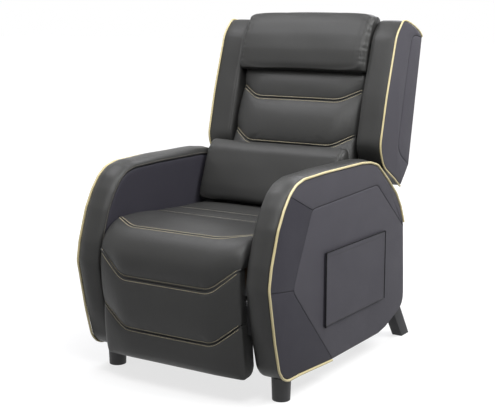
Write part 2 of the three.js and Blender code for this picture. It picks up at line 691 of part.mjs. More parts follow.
const boss = ([y, z], r) => ({ y, z, r });
const plateBosses = [swingPivot, guidePivot, [FRONT_RAIL_Y, RAIL_Z], [REAR_RAIL_Y, RAIL_Z], backPivot]
  .map((place) => boss(place, PLATE_BORDER));
const plateMiddleZ = (guidePivot[1] + RAIL_Z) / 2;
const plateSlot = linkShape(
  [guidePivot[0] + 3 * PLATE_BORDER, plateMiddleZ + LINK_HALF_WIDTH],
  [REAR_RAIL_Y - 2 * PLATE_BORDER, plateMiddleZ + LINK_HALF_WIDTH], LINK_HALF_WIDTH, [], 0);
const plateBlank = plateAround(plateBosses);
plateBlank.holes.push(new THREE.Path(plateSlot.getPoints(6)));
const sidePlate = join(
  across(plateBlank, layerInner(0), layerOuter(0)),
  rivet(swingPivot, layerInner(0) + FIT, layerInner(1)),
  rivet(guidePivot, layerInner(0) + FIT, layerInner(1)),
  rivet(backPivot, layerInner(0) + FIT, layerInner(1), BACK_PIN_RADIUS));
addPair(recliner, 'side_plate', sidePlate, 'steel');

for (const [name, y] of [['front_cross_rail', FRONT_RAIL_Y], ['rear_cross_rail', REAR_RAIL_Y]]) {
  const half = RAIL_SIZE / 2;
  const square = (size) => [[-size, -size], [size, -size], [size, size], [-size, size]]
    .map(([a, b]) => [y + a, RAIL_Z + b]);
  const section = shapeOf(square(half));
  section.holes.push(new THREE.Path(square(half - RAIL_WALL).map(([a, b]) => new THREE.Vector2(a, b))));
  const end = layerInner(0) - FIT;
  addPiece(recliner, name, across(section, -end, end), 'steel');
}

// Swing links hang from the side plates. Each carries a crank for the push rod, and a
// round tube joins the left and right ones so that they turn together.
const crankShape = linkShape(swingPivot, crankPin, LINK_HALF_WIDTH, [swingPivot], EYE);
const swingShape = linkShape(swingPivot, swingEnd, LINK_HALF_WIDTH, [swingPivot, swingMiddle, swingEnd], EYE);
const pivotBore = roundBar(...swingPivot, EYE, layerInner(1) - OVERRUN, layerOuter(1) + OVERRUN);
const swingBar = join(
  across(swingShape, layerInner(1), layerOuter(1)),
  across(crankShape, layerInner(1), layerOuter(1)),
  rivet(crankPin, layerInner(1) + FIT, layerInner(3)));
const tubePlace = offsetPoint(swingPivot, SWING_RUN_Y * DRIVE_TUBE_SHARE, SWING_RUN_Z * DRIVE_TUBE_SHARE);
addPair(recliner, 'swing_link', cut(swingBar, pivotBore), 'steel');
const tubeEnd = layerInner(1) - FIT;
const driveTube = cut(
  roundBar(...tubePlace, DRIVE_TUBE_RADIUS, -tubeEnd, tubeEnd, TUBE_SIDES),
  roundBar(...tubePlace, DRIVE_TUBE_RADIUS - RAIL_WALL, -tubeEnd - OVERRUN, tubeEnd + OVERRUN, TUBE_SIDES));
addPiece(recliner, 'drive_tube', driveTube, 'steel');

const guideShape = linkShape(guidePivot, guideEnd, LINK_HALF_WIDTH, [guidePivot, guideEnd], EYE);
addPair(recliner, 'guide_link', across(guideShape, layerInner(1), layerOuter(1)), 'steel');

// Carry links keep their direction and bring the footrest forward.
const lowerCarry = join(
  across(linkShape(guideEnd, lowerHinge, LINK_HALF_WIDTH, [], 0), layerInner(2), layerOuter(2)),
  ...[guideEnd, swingEnd, lowerHinge].map((pin) => rivet(pin, layerOuter(2) - FIT, layerOuter(1))));
addPair(recliner, 'lower_carry_link', lowerCarry, 'steel');
const upperCarry = join(
  across(linkShape(swingMiddle, upperHinge, LINK_HALF_WIDTH, [], 0), layerInner(2), layerOuter(2)),
  ...[swingMiddle, upperHinge].map((pin) => rivet(pin, layerOuter(2) - FIT, layerOuter(1))));
addPair(recliner, 'upper_carry_link', upperCarry, 'steel');

// Push rod from the back bracket to the crank. Its front eye is a slot.
const rodBar = linkShape(rodPin, crankPin, LINK_HALF_WIDTH, [rodPin], EYE);
const slotEnds = [-ROD_SLOT_TRAVEL, ROD_SLOT_TRAVEL].map((travel) => offsetPoint(crankPin, 0, travel));
const slotRadius = PIN_RADIUS + ROD_SLOT_PLAY;
const rodSlot = linkShape(...slotEnds, slotRadius, [], 0);
const rodHead = linkShape(...slotEnds, slotRadius + LINK_HALF_WIDTH / 2, [], 0);
const pushRod = cut(
  join(across(rodBar, layerInner(3), layerOuter(3)), across(rodHead, layerInner(3), layerOuter(3))),
  across(rodSlot, layerInner(3) - OVERRUN, layerOuter(3) + OVERRUN));
addPair(recliner, 'push_rod', pushRod, 'steel');

// Back brackets turn on the side plates' pins and are screwed to the back frame's ears.
const inBack = (y, z) => {
  const lean = THREE.MathUtils.degToRad(BACK_LEAN_DEG);
  return offsetPoint(
    backPivot, y * Math.cos(lean) + z * Math.sin(lean), -y * Math.sin(lean) + z * Math.cos(lean));
};
const bracketTop = inBack(BACK_FRAME_FRONT + BACK_FRAME_DEPTH / 3, BACK_EAR_TOP - PLATE_BORDER);
const bracketLow = inBack(BACK_FRAME_FRONT + BACK_FRAME_DEPTH / 3, BACK_FRAME_BOTTOM + PLATE_BORDER);
const bracketBosses = [backPivot, bracketLow, bracketTop].map((place) => boss(place, PLATE_BORDER - STEEL));
const backBracketShape = withHoles(
  plateAround([...bracketBosses, boss(rodPin, EYE_RADIUS)]), [backPivot], BACK_PIN_RADIUS + PIN_PLAY);
const backBracket = join(
  across(backBracketShape, layerInner(1), layerOuter(1)),
  rivet(rodPin, layerInner(1) + FIT, layerInner(3)));
addPair(recliner, 'back_bracket', backBracket, 'steel');

const stretcherFront = ARM_DEPTH / 2 - STRETCHER_FROM_REAR;
addPiece(recliner, 'rear_stretcher', block(
  -ARM_INNER + FIT, ARM_INNER - FIT, stretcherFront, stretcherFront + STRETCHER_THICKNESS,
  STRETCHER_BOTTOM, STRETCHER_BOTTOM + STRETCHER_HEIGHT), 'wood');

// Seat frame on the cross rails, with a front apron, and sinuous springs across it
const frameBottom = RAIL_Z + RAIL_SIZE / 2 + FIT;
const frameTop = frameBottom + SEAT_BOARD;
const frameHalf = layerInner(3) - 2 * FIT - HEAD_THICKNESS - 2 * LINK_GAP;
const seatRing = cut(
  block(-frameHalf, frameHalf, SEAT_FRAME_FRONT, SEAT_FRAME_REAR, frameBottom, frameTop),
  block(-frameHalf + SEAT_FRAME_RAIL, frameHalf - SEAT_FRAME_RAIL, SEAT_FRAME_FRONT + SEAT_FRAME_RAIL,
    SEAT_FRAME_REAR - SEAT_FRAME_RAIL, frameBottom - OVERRUN, frameTop + OVERRUN));
const apronRear = SEAT_FRAME_FRONT + APRON_THICKNESS;
const apron = block(-frameHalf, frameHalf, SEAT_FRAME_FRONT, apronRear, frameBottom - APRON_DROP, frameTop);
addPiece(recliner, 'seat_frame', join(seatRing, apron), 'wood');

const springHeight = frameTop + FIT + SPRING_WIRE;
const springFront = SEAT_FRAME_FRONT + SEAT_FRAME_RAIL - SPRING_OVERLAP;
const springRear = SEAT_FRAME_REAR - SEAT_FRAME_RAIL + SPRING_OVERLAP;
const springTurns = Math.round((springRear - springFront) / SPRING_PITCH);
SPRING_SHARES.forEach((share, i) => {
  const centre = share * (frameHalf - SEAT_FRAME_RAIL);
  const points = Array.from({ length: springTurns + 1 }, (_, turn) => new THREE.Vector3(
    centre + (turn % 2 ? 1 : -1) * SPRING_WIDTH / 2,
    springFront + ((springRear - springFront) * turn) / springTurns, springHeight));
  const spring = tube(points, SPRING_WIRE, 4, springTurns * 3, SPRING_TENSION_SHARE);
  addPiece(recliner, `seat_spring_${i + 1}`, spring, 'steel');
});

// Seat cushion with a front roll over the apron
const cushionBottom = springHeight + SPRING_WIRE + FIT;
const cushionInFront = SEAT_FRAME_FRONT - FIT;
const at = (place) => [place.y, place.z];
const padRow = (middle, side, swell, backMiddle, backSide = backMiddle) => ({
  middle, side, swell, backMiddle, backSide });
const foldAt = (gap) => [FOLD_MIDDLE, FOLD_SIDE].map((place) => offsetPoint(at(place), 0, gap));
const seatCushion = quiltedPad({
  half: SEAT_HALF, kink: CHEVRON_HALF, steps: 5, pinch: CUSHION_SEAM_PINCH, columnShares: COLUMN_SHARES,
  rows: [
    padRow(...foldAt(FOLD_GAP / 2), ROLL_SWELL,
      [cushionInFront, FOLD_MIDDLE.z + 2 * FOLD_GAP], [cushionInFront, FOLD_SIDE.z + FOLD_GAP]),
    padRow(at(SEAT_EDGE_MIDDLE), at(SEAT_EDGE_SIDE), SEAT_SWELL, [cushionInFront, cushionBottom]),
    padRow(at(SEAT_SEAM_B), at(SEAT_SEAM_B), SEAT_SWELL, [SEAT_SEAM_B.y, cushionBottom]),
    padRow(at(SEAT_SEAM_A), at(SEAT_SEAM_A), SEAT_SWELL, [SEAT_SEAM_A.y, cushionBottom]),
    padRow(at(SEAT_REAR), at(SEAT_REAR), 0, [SEAT_REAR.y, cushionBottom]),
  ],
});
addPiece(recliner, 'seat_cushion', seatCushion, 'leather');

// Footrest: board, its two brackets, and the pad that carries on the seat's front
const boardLean = THREE.MathUtils.degToRad(REST_BOARD_LEAN_DEG);
const boardBasis = new THREE.Matrix4().makeBasis(
  new THREE.Vector3(1, 0, 0),
  new THREE.Vector3(0, -Math.sin(boardLean), Math.cos(boardLean)),
  new THREE.Vector3(0, -Math.cos(boardLean), -Math.sin(boardLean)));
boardBasis.setPosition(0, REST_BOARD_Y, REST_BOARD_Z);
const boardPoint = (up, out) => [
  REST_BOARD_Y - up * Math.sin(boardLean) - out * Math.cos(boardLean),
  REST_BOARD_Z + up * Math.cos(boardLean) - out * Math.sin(boardLean),
];
const boardHalf = ARM_INNER - REST_BOARD_FROM_ARM;
const boardShape = shapeOf([
  [-boardHalf, -REST_BOARD_DOWN], [boardHalf, -REST_BOARD_DOWN],
  [boardHalf, REST_BOARD_TOP + REST_BOARD_EAR], [CHEVRON_HALF, REST_BOARD_TOP],
  [-CHEVRON_HALF, REST_BOARD_TOP], [-boardHalf, REST_BOARD_TOP + REST_BOARD_EAR],
]);
const restBoard = new THREE.ExtrudeGeometry(boardShape, { depth: REST_BOARD, bevelEnabled: false });
restBoard.applyMatrix4(boardBasis);
addPiece(recliner, 'footrest_board', restBoard, 'wood');

const flangeUp = upperHinge[1] - REST_BOARD_Z + EYE_RADIUS;
const flangeDown = lowerHinge[1] - REST_BOARD_Z - 2 * EYE_RADIUS;
const flangeTop = boardPoint(flangeUp, -FIT);
const flangeLow = boardPoint(flangeDown, -FIT);
const webShape = withHoles(plateAround([
  boss(lowerHinge, EYE_RADIUS), boss(upperHinge, EYE_RADIUS),
  boss(offsetPoint(flangeTop, STEEL, 0), STEEL / 2), boss(offsetPoint(flangeLow, STEEL, 0), STEEL / 2),
]), [lowerHinge, upperHinge], EYE);
const flangeShape = shapeOf([
  boardPoint(flangeDown, -FIT), boardPoint(flangeUp, -FIT),
  boardPoint(flangeUp, -FIT - STEEL), boardPoint(flangeDown, -FIT - STEEL)]);
const restBracket = join(
  across(webShape, layerInner(1), layerOuter(1)),
  across(flangeShape, layerOuter(1) - BRACKET_FLANGE, layerOuter(1)));
addPair(recliner, 'footrest_bracket', restBracket, 'steel');

const padBack = (z, gap = FIT) => [
  REST_BOARD_Y - (REST_BOARD + gap) / Math.cos(boardLean) - (z - REST_BOARD_Z) * Math.tan(boardLean), z];
const restPad = quiltedPad({
  half: SEAT_HALF - REST_PAD_MARGIN, kink: CHEVRON_HALF, steps: 5, pinch: CUSHION_SEAM_PINCH,
  columnShares: COLUMN_SHARES,
  rows: [
    padRow(at(REST_END_MIDDLE), at(REST_END_SIDE), REST_SWELL,
      padBack(REST_END_MIDDLE.z + FOLD_GAP), padBack(REST_END_SIDE.z + FOLD_GAP)),
    padRow(at(REST_SEAM_MIDDLE), at(REST_SEAM_SIDE), REST_SWELL,
      padBack(REST_SEAM_MIDDLE.z), padBack(REST_SEAM_SIDE.z)),
    padRow(...foldAt(-FOLD_GAP / 2), 0, padBack(FOLD_MIDDLE.z - FOLD_GAP), padBack(FOLD_SIDE.z - FOLD_GAP)),
  ],
});
addPiece(recliner, 'footrest_pad', restPad, 'leather');

// Back: an inner frame with webbing, a quilted pad, a wing at each side, a rear cover.
// The pieces below are drawn in the back's own frame.
const frameTopEdge = BACK_HEIGHT - 3 * PANEL_INSET;
const backInnerHalf = BACK_HALF - FIT;
const earHalf = layerInner(1) - FIT;
const backOutlineFront = (half, from, to) => block(
  -half, half, BACK_FRAME_FRONT, BACK_FRAME_FRONT + BACK_FRAME_DEPTH, from, to);
const backFrame = cut(
  join(backOutlineFront(backInnerHalf, BACK_FRAME_BOTTOM, frameTopEdge),
    backOutlineFront(earHalf, BACK_FRAME_BOTTOM, BACK_EAR_TOP)),
  block(-backInnerHalf + BACK_FRAME_RAIL, backInnerHalf - BACK_FRAME_RAIL, BACK_FRAME_FRONT - OVERRUN,
    BACK_FRAME_FRONT + BACK_FRAME_DEPTH + OVERRUN, BACK_FRAME_BOTTOM + BACK_FRAME_RAIL,
    frameTopEdge - BACK_FRAME_RAIL));
addPiece(back, 'back_frame', backFrame, 'wood');

WEBBING_SHARES.forEach((share, i) => {
  const height = BACK_FRAME_BOTTOM + share * (frameTopEdge - BACK_FRAME_BOTTOM);
  addPiece(back, `back_webbing_${i + 1}`, block(
    -backInnerHalf + BACK_FRAME_RAIL / 2, backInnerHalf - BACK_FRAME_RAIL / 2,
    BACK_FRAME_FRONT - FIT - WEBBING_THICKNESS, BACK_FRAME_FRONT - FIT,
    height - WEBBING_WIDTH / 2, height + WEBBING_WIDTH / 2), 'webbing');
});

const backPad = quiltedPad({
  half: BACK_PAD_HALF, kink: CHEVRON_HALF, steps: 4, pinch: CUSHION_SEAM_PINCH, columnShares: COLUMN_SHARES,
  rows: BACK_SEAM_SHARES.map(([middle, side], i) => padRow(
    [BACK_SEAM_FRONTS[i][0], middle * BACK_HEIGHT], [BACK_SEAM_FRONTS[i][1], side * BACK_HEIGHT],
    BACK_SEAM_SWELL_SHARES[i] * BACK_SWELL, [BACK_PAD_REAR, BACK_SEAM_BACK_SHARES[i] * BACK_HEIGHT])),
});
addPiece(back, 'back_pad', backPad, 'leather');

// Wing outline as shares of the wing's depth and the back's height, walked from the knee round the lower tip
const WING_SHARES = [
  [-0.2966, 0.365], [-0.1102, 0.2965], [0.0315, 0.285], [0.256, 0.2714], [0.4685, 0.2507], [0.5985, 0.3658],
  [0.4527, 0.6814], [0.319, 0.9853], [0.2125, 0.9971], [0.067, 1], [-0.0985, 0.9971], [-0.2245, 0.9912],
  [-0.2952, 0.9808], [-0.4015, 0.8953], [-0.3662, 0.6062],
];
const wingOutline = anticlockwise(fromShares(WING_SHARES, WING_DEPTH, BACK_HEIGHT));
const wing = loft([
  { x: BACK_HALF, loop: inset(wingOutline, WING_ROUND) },
  { x: BACK_HALF + WING_ROUND / 4, loop: inset(wingOutline, WING_ROUND / 2) },
  { x: BACK_HALF + WING_ROUND, loop: wingOutline },
  { x: WING_OUTER - WING_EDGE, loop: wingOutline },
  { x: WING_OUTER, loop: inset(wingOutline, WING_EDGE) },
]);
addPair(back, 'wing', wing, 'leather');

const WING_PIPING_FIRST = 7;
const WING_PIPING_POINTS = 13;
const wingPiping = pipingAlong({
  outline: wingOutline, x: WING_OUTER - WING_PIPING_RADIUS / 2, centreInset: -WING_PIPING_RADIUS / 2,
  radius: WING_PIPING_RADIUS, first: WING_PIPING_FIRST, count: WING_PIPING_POINTS });
addPair(back, 'wing_piping', wingPiping, 'gold');

const REAR_COVER_SHARES = [
  [0, 0.06], [0.1335, 0.055], [0.5339, 0.25], [0.5985, 0.3658], [0.4527, 0.6814], [0.319, 0.985],
];
const coverFront = BACK_FRAME_FRONT + BACK_FRAME_DEPTH + FIT;
const rearCoverOutline = fromShares(REAR_COVER_SHARES, WING_DEPTH, BACK_HEIGHT)
  .map(([y, z], i) => [i === 0 ? coverFront : Math.max(y, coverFront + REAR_COVER_STEP), z]);
rearCoverOutline.push([coverFront, rearCoverOutline[rearCoverOutline.length - 1][1]]);
addPiece(back, 'rear_cover', across(
  shapeOf(anticlockwise(rearCoverOutline)), -backInnerHalf + FIT, backInnerHalf - FIT), 'panel');

addPiece(back, 'headrest_pillow', pillow(HEAD_PILLOW), 'leather');
addPiece(back, 'lumbar_pillow', pillow(LUMBAR_PILLOW), 'leather');

export default recliner;
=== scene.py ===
import math
import bpy
import numpy as np
from mathutils import Matrix, Vector
from mathutils.bvhtree import BVHTree


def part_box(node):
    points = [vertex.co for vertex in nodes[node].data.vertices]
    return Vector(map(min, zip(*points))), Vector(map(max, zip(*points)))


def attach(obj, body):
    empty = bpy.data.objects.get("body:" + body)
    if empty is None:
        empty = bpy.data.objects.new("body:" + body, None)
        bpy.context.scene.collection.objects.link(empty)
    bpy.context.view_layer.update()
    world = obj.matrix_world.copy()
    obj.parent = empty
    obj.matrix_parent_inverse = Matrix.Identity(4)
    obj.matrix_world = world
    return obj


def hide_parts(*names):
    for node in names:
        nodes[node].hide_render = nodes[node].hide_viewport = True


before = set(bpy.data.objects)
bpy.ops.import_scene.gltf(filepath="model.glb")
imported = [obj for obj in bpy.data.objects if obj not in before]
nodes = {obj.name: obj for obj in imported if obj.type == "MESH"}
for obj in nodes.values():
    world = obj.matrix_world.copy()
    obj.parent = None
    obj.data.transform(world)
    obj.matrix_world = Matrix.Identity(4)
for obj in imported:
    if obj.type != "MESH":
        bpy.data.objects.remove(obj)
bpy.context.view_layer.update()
MM = 0.001
FULL_TURN = 6.28
SIDES = (("left", 1), ("right", -1))

# ----------------------------
# Studio: a white sweep under soft boxes, seen from the chair's left front.
CAMERA_PLACE = (1.8249, -2.8663, 1.0882)
CAMERA_TURN = (math.radians(90 - 10.18), 0, math.radians(33.03))
WHITE = (1, 1, 1, 1)

bpy.ops.object.camera_add(location=CAMERA_PLACE, rotation=CAMERA_TURN)
camera = bpy.context.object
camera.data.sensor_width = 36
camera.data.lens = 79.5
bpy.context.scene.camera = camera
bpy.context.scene.view_settings.view_transform = "Standard"

# each soft box: place, the point it is turned to, size, watts and colour
SOFT_BOXES = [
    ((2.0, 0.2, 2.6), (0, 0, 0.8), (1.3, 1.3), 82, (1, 1, 1)),
    ((0.1, 2.1, 2.5), (0, 0, 0.5), (1.6, 1.6), 46, (0.94, 0.94, 1)),
    ((-0.8, -0.4, 2.4), (0, 0, 0.5), (1.2, 1.0), 25, (0.97, 0.97, 1)),
    ((0.8, -1.2, 2.2), (0, -0.1, 0.5), (1.0, 0.8), 33, (1, 1, 1)),
    ((-2.0, -2.5, 1.7), (0, 0, 0.6), (1.6, 1.6), 7, (1, 0.98, 0.95))]
for place, aim, size, watts, colour in SOFT_BOXES:
    bpy.ops.object.light_add(type="AREA", location=place)
    lamp = bpy.context.object
    lamp.data.shape = "RECTANGLE"
    lamp.data.size, lamp.data.size_y = size
    lamp.data.energy = watts
    lamp.data.color = colour
    lamp.rotation_euler = (Vector(aim) - Vector(place)).to_track_quat("-Z", "Y").to_euler()


def feed(tree, node, values):
    """Sets a shader node's inputs, by name or number, to values or to other nodes' outputs."""
    for key, value in dict(values).items():
        if isinstance(value, bpy.types.NodeSocket):
            tree.links.new(value, node.inputs[key])
        else:
            node.inputs[key].default_value = value
    return node.outputs


def add_node(tree, kind, values=(), **settings):
    """Adds a shader node with these settings and inputs, and gives its outputs."""
    made = tree.nodes.new("ShaderNode" + kind)
    for key, value in settings.items():
        setattr(made, key, value)
    return feed(tree, made, values)


def white_for_the_camera(tree, lit, white, end):
    """Shows the white look to the camera, in mirrors and through glass, and the lit one
    to all other rays."""
    path = add_node(tree, "LightPath")
    seen = path["Is Camera Ray"]
    for ray in ("Is Glossy Ray", "Is Transmission Ray"):
        seen = add_node(tree, "Math", {0: path[ray], 1: seen}, operation="MAXIMUM")[0]
    shown = add_node(tree, "MixShader", {"Fac": seen, 1: lit, 2: white})
    tree.links.new(shown[0], tree.nodes[end].inputs["Surface"])


world = bpy.data.worlds.new("studio air")
bpy.context.scene.world = world
world.use_nodes = True
tree = world.node_tree
air = feed(tree, tree.nodes["Background"], {"Color": (0.94, 0.95, 1, 1), "Strength": 0.12})
white_air = add_node(tree, "Background", {"Color": WHITE, "Strength": 1.0})
white_for_the_camera(tree, air[0], white_air[0], "World Output")

bpy.ops.mesh.primitive_plane_add(size=60)
floor = bpy.context.object
floor.name = "studio_floor"
floor_paint = bpy.data.materials.new("studio floor")
floor_paint.use_nodes = True
tree = floor_paint.node_tree
matt = feed(tree, tree.nodes["Principled BSDF"],
            {"Base Color": (0.3, 0.3, 0.3, 1), "Roughness": 0.9, "Specular IOR Level": 0.1})
# the glow rises away from the chair, where the lamps fall off
from_middle = add_node(tree, "VectorMath", {0: add_node(tree, "TexCoord")["Object"]}, operation="LENGTH")
rising = add_node(tree, "MapRange", {"Value": from_middle["Value"], "From Min": 0.6, "From Max": 2.6,
                                     "To Min": 0.74, "To Max": 1.0})
glow = add_node(tree, "Emission", {"Color": WHITE, "Strength": rising["Result"]})
white_floor = add_node(tree, "AddShader", {0: matt[0], 1: glow[0]})
white_for_the_camera(tree, matt[0], white_floor[0], "Material Output")
floor.data.materials.append(floor_paint)

# ----------------------------
# Hidden timber and steel: plywood frames, black painted mechanism, springs and
# elastic webbing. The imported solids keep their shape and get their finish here.


def paint(obj, material):
    obj.data.materials.clear()
    obj.data.materials.append(material)


def pattern_group(name, values=()):
    """A shader group that takes a place and named values and gives height, tone and rub:
    the group, its inputs and the node that its outputs go to."""
    group = bpy.data.node_groups.new(name, "ShaderNodeTree")
    group.interface.new_socket("Place", in_out="INPUT", socket_type="NodeSocketVector")
    for title, value in values:
        socket = group.interface.new_socket(title, in_out="INPUT", socket_type="NodeSocketFloat")
        socket.default_value = value
    for title in ("Height", "Tone", "Rubbed"):
        group.interface.new_socket(title, in_out="OUTPUT", socket_type="NodeSocketFloat")
    return group, group.nodes.new("NodeGroupInput").outputs, group.nodes.new("NodeGroupOutput")


def grain_group():
    """Coated leather: small pebbles with creases between them, and broad soft tone."""
    group, given, leaving = pattern_group("leather grain", [("Pebble", 0.0012), ("Unevenness", 1.0)])

    def noise(scale, detail, roughness=0.5):
        return add_node(group, "TexNoise", {
            "Vector": given["Place"], "Scale": scale, "Detail": detail, "Roughness": roughness})

    def maths(operation, *values, **settings):
        return add_node(group, "Math", dict(enumerate(values)), operation=operation, **settings)[0]

    nudge = add_node(group, "VectorMath", {0: noise(180.0, 2.0)["Color"], "Scale": 0.0016},
                     operation="SCALE")
    bent = add_node(group, "VectorMath", {0: given["Place"], 1: nudge[0]}, operation="ADD")
    per_metre = maths("DIVIDE", 1.0, given["Pebble"])
    pebbles = add_node(group, "TexVoronoi", {"Vector": bent[0], "Scale": per_metre},
                       feature="DISTANCE_TO_EDGE")
    crown = add_node(group, "MapRange", {"Value": pebbles["Distance"], "From Max": 0.22},
                     interpolation_type="SMOOTHSTEP")["Result"]
    uneven = maths("MULTIPLY", maths("ADD", noise(7.0, 4.0, 0.55)["Fac"], -0.5), given["Unevenness"])
    specks = maths("MULTIPLY_ADD", noise(420.0, 3.0)["Fac"], 0.5, uneven)
    feed(group, leaving, {
        "Height": maths("MULTIPLY_ADD", noise(2600.0, 3.0, 0.6)["Fac"], 0.35, crown),
        "Tone": maths("MULTIPLY_ADD", crown, 0.3, specks, use_clamp=True),
        "Rubbed": noise(16.0, 5.0, 0.65)["Fac"]})
    return group


def surface(name, dark, light, gloss, group, values, relief, specular):
    """A finish whose tone, roughness and relief come from one shader group."""
    material = bpy.data.materials.new(name)
    material.use_nodes = True
    tree = material.node_tree
    place = add_node(tree, "TexCoord")["Object"]
    pattern = add_node(tree, "Group", {"Place": place, **values}, node_tree=group)
    colour = add_node(tree, "Mix", {"Factor": pattern["Tone"], "A": (*dark, 1), "B": (*light, 1)},
                      data_type="RGBA")
    rough = add_node(tree, "MapRange", {"Value": pattern["Rubbed"], "To Min": gloss[0], "To Max": gloss[1]})
    bump = add_node(tree, "Bump", {"Height": pattern["Height"], "Strength": 0.6, "Distance": relief})
    feed(tree, tree.nodes["Principled BSDF"], {
        "Base Color": colour["Result"], "Roughness": rough["Result"], "Normal": bump["Normal"],
        "Specular IOR Level": specular})
    return material


LEATHER_GRAIN = grain_group()


def grained(name, dark, light, gloss, pebble, unevenness, relief, specular=0.5):
    """Leather, or a plastic moulded like it. The pebble and the relief are in metres."""
    return surface(name, dark, light, gloss, LEATHER_GRAIN, {"Pebble": pebble, "Unevenness": unevenness},
                   relief, specular)


def streaked(name, dark, light, gloss, along, across, knots, relief, specular=0.5):
    """A finish with long streaks along X, as in veneer, woven strap or brushed paint."""
    group, given, leaving = pattern_group(name + " figure")
    stretched = add_node(group, "Mapping", {"Vector": given["Place"], "Scale": (along, across, across)})
    streaks = add_node(group, "TexNoise", {"Vector": stretched[0], "Scale": 1.0, "Detail": 6.0,
                                           "Roughness": 0.6, "Distortion": knots})["Fac"]
    sharper = add_node(group, "MapRange", {"Value": streaks, "From Min": 0.3, "From Max": 0.7})
    cloudy = add_node(group, "TexNoise", {"Vector": given["Place"], "Scale": 24.0, "Detail": 4.0})
    feed(group, leaving, {"Height": streaks, "Tone": sharper["Result"], "Rubbed": cloudy["Fac"]})
    return surface(name, dark, light, gloss, group, {}, relief, specular)


plywood = streaked("dark stained plywood", (0.045, 0.028, 0.016), (0.11, 0.07, 0.042), (0.55, 0.8),
                   3.0, 90.0, 1.2, 0.0002)
black_steel = streaked("black painted steel", (0.012, 0.012, 0.013), (0.03, 0.03, 0.032), (0.28, 0.5),
                       900.0, 1300.0, 0.3, 0.00006)
webbing = streaked("elastic webbing", (0.012, 0.012, 0.012), (0.06, 0.06, 0.058), (0.8, 0.95),
                   60.0, 2200.0, 0.0, 0.0004, specular=0.2)
TIMBER = ("arm_frame", "seat_frame", "back_frame", "rear_stretcher", "footrest_board")
COVERED = ("arm_", "pocket", "front_foot", "rear_foot", "seat_cushion", "footrest_pad", "back_pad", "wing",
           "rear_cover", "headrest", "lumbar")
for name, node in nodes.items():
    if name.startswith(TIMBER):
        paint(node, plywood)
    elif name.startswith("back_webbing"):
        paint(node, webbing)
    elif not name.startswith(COVERED):
        paint(node, black_steel)

# ----------------------------
# Feet: turned and tapered ones in front, raked moulded ones behind, both of black
# plastic with softened edges and screwed to the arms' plywood.
foot_plastic = grained("black moulded plastic", (0.006, 0.006, 0.007), (0.013, 0.013, 0.014), (0.45, 0.62),
                       0.0007, 0.6, 0.00008)
raked_plastic = grained("dark grey moulded plastic", (0.018, 0.018, 0.02), (0.03, 0.03, 0.032), (0.5, 0.62),
                        0.0007, 0.35, 0.00004, specular=0.25)


def activate(obj):
    """Makes this the one selected object, and the active one."""
    bpy.ops.object.select_all(action="DESELECT")
    obj.select_set(True)
    bpy.context.view_layer.objects.active = obj
    return obj


def edit_whole(obj):
    """Opens the object's mesh for editing, with all of it selected."""
    activate(obj)
    bpy.ops.object.mode_set(mode="EDIT")
    bpy.ops.mesh.select_all(action="SELECT")


def finish_modifiers(obj):
    activate(obj)
    for modifier in list(obj.modifiers):
        bpy.ops.object.modifier_apply(modifier=modifier.name)
    return obj


def soft_edges(obj, width, segments=3, angle=30):
    bevel = obj.modifiers.new("softened edges", "BEVEL")
    bevel.width = width
    bevel.segments = segments
    bevel.limit_method = "ANGLE"
    bevel.angle_limit = math.radians(angle)
    finish_modifiers(obj)
    bpy.ops.object.shade_smooth_by_angle(angle=math.radians(40))
    return obj


def duplicate(obj, name):
    """The same piece again, with its own mesh and without what was said about the first."""
    made = obj.copy()
    made.data = obj.data.copy()
    made.parent = None
    made.name = name
    for mark in list(made.keys()):
        del made[mark]
    bpy.context.scene.collection.objects.link(made)
    return made


def copy_of(node_name, name):
    """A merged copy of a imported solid, to be worked on in its place."""
    made = duplicate(nodes[node_name], name)
    edit_whole(made)
    bpy.ops.mesh.remove_doubles(threshold=0.00001)
    bpy.ops.mesh.dissolve_limited(angle_limit=math.radians(1))
    bpy.ops.object.mode_set(mode="OBJECT")
    return made


def dress(piece, finish, body, node=None):
    """Gives a piece its finish and the body it moves with, and hides the solid it stands for."""
    paint(piece, finish)
    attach(piece, body)
    if node:
        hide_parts(node)


for side, _ in SIDES:
    low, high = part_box(f"front_foot_{side}")
    bpy.ops.mesh.primitive_cone_add(vertices=64, radius1=0.026, radius2=0.0285, depth=high.z - low.z,
                                    location=(low + high) / 2)
    foot = bpy.context.object
    foot.name = f"turned_foot_{side}"
    bpy.ops.object.transform_apply(location=True, rotation=True, scale=True)
    dress(soft_edges(foot, 0.002), foot_plastic, "base", f"front_foot_{side}")
    raked = soft_edges(copy_of(f"rear_foot_{side}", f"raked_foot_{side}"), 0.002, angle=20)
    dress(raked, raked_plastic, "base", f"rear_foot_{side}")

# ----------------------------
# Arms: a padded leather band runs round the edge of each, between a sewn inner
# panel and a faceted outer panel, with gold piping on the outer edge.
ARM_DEPTH, ARM_TOP = 850, 630
ARM_SHARES = [
    (-0.0647, 0.0952), (0.294, 0.0984), (0.347, 0.1111), (0.507, 0.1873), (0.5, 0.3794),
    (0.4871, 0.6349), (0.4553, 0.727), (0.4141, 0.8016), (0.3376, 0.8873), (0.2541, 0.9714),
    (0.1953, 0.9921), (0.1282, 1), (-0.1412, 1), (-0.2824, 0.9937), (-0.3329, 0.9762),
    (-0.3718, 0.9397), (-0.4071, 0.881), (-0.4424, 0.7984), (-0.4812, 0.646), (-0.4941, 0.554),
    (-0.4576, 0.3063), (-0.4306, 0.1714), (-0.4071, 0.1302), (-0.3741, 0.1111), (-0.3, 0.1111)]
ARM_ROUND = 0.06


def drawn(y, z):
    """A side view's millimetres, with y = 0 at the middle of the arm, as row metres."""
    return np.array([(y - 52) * MM, z * MM])


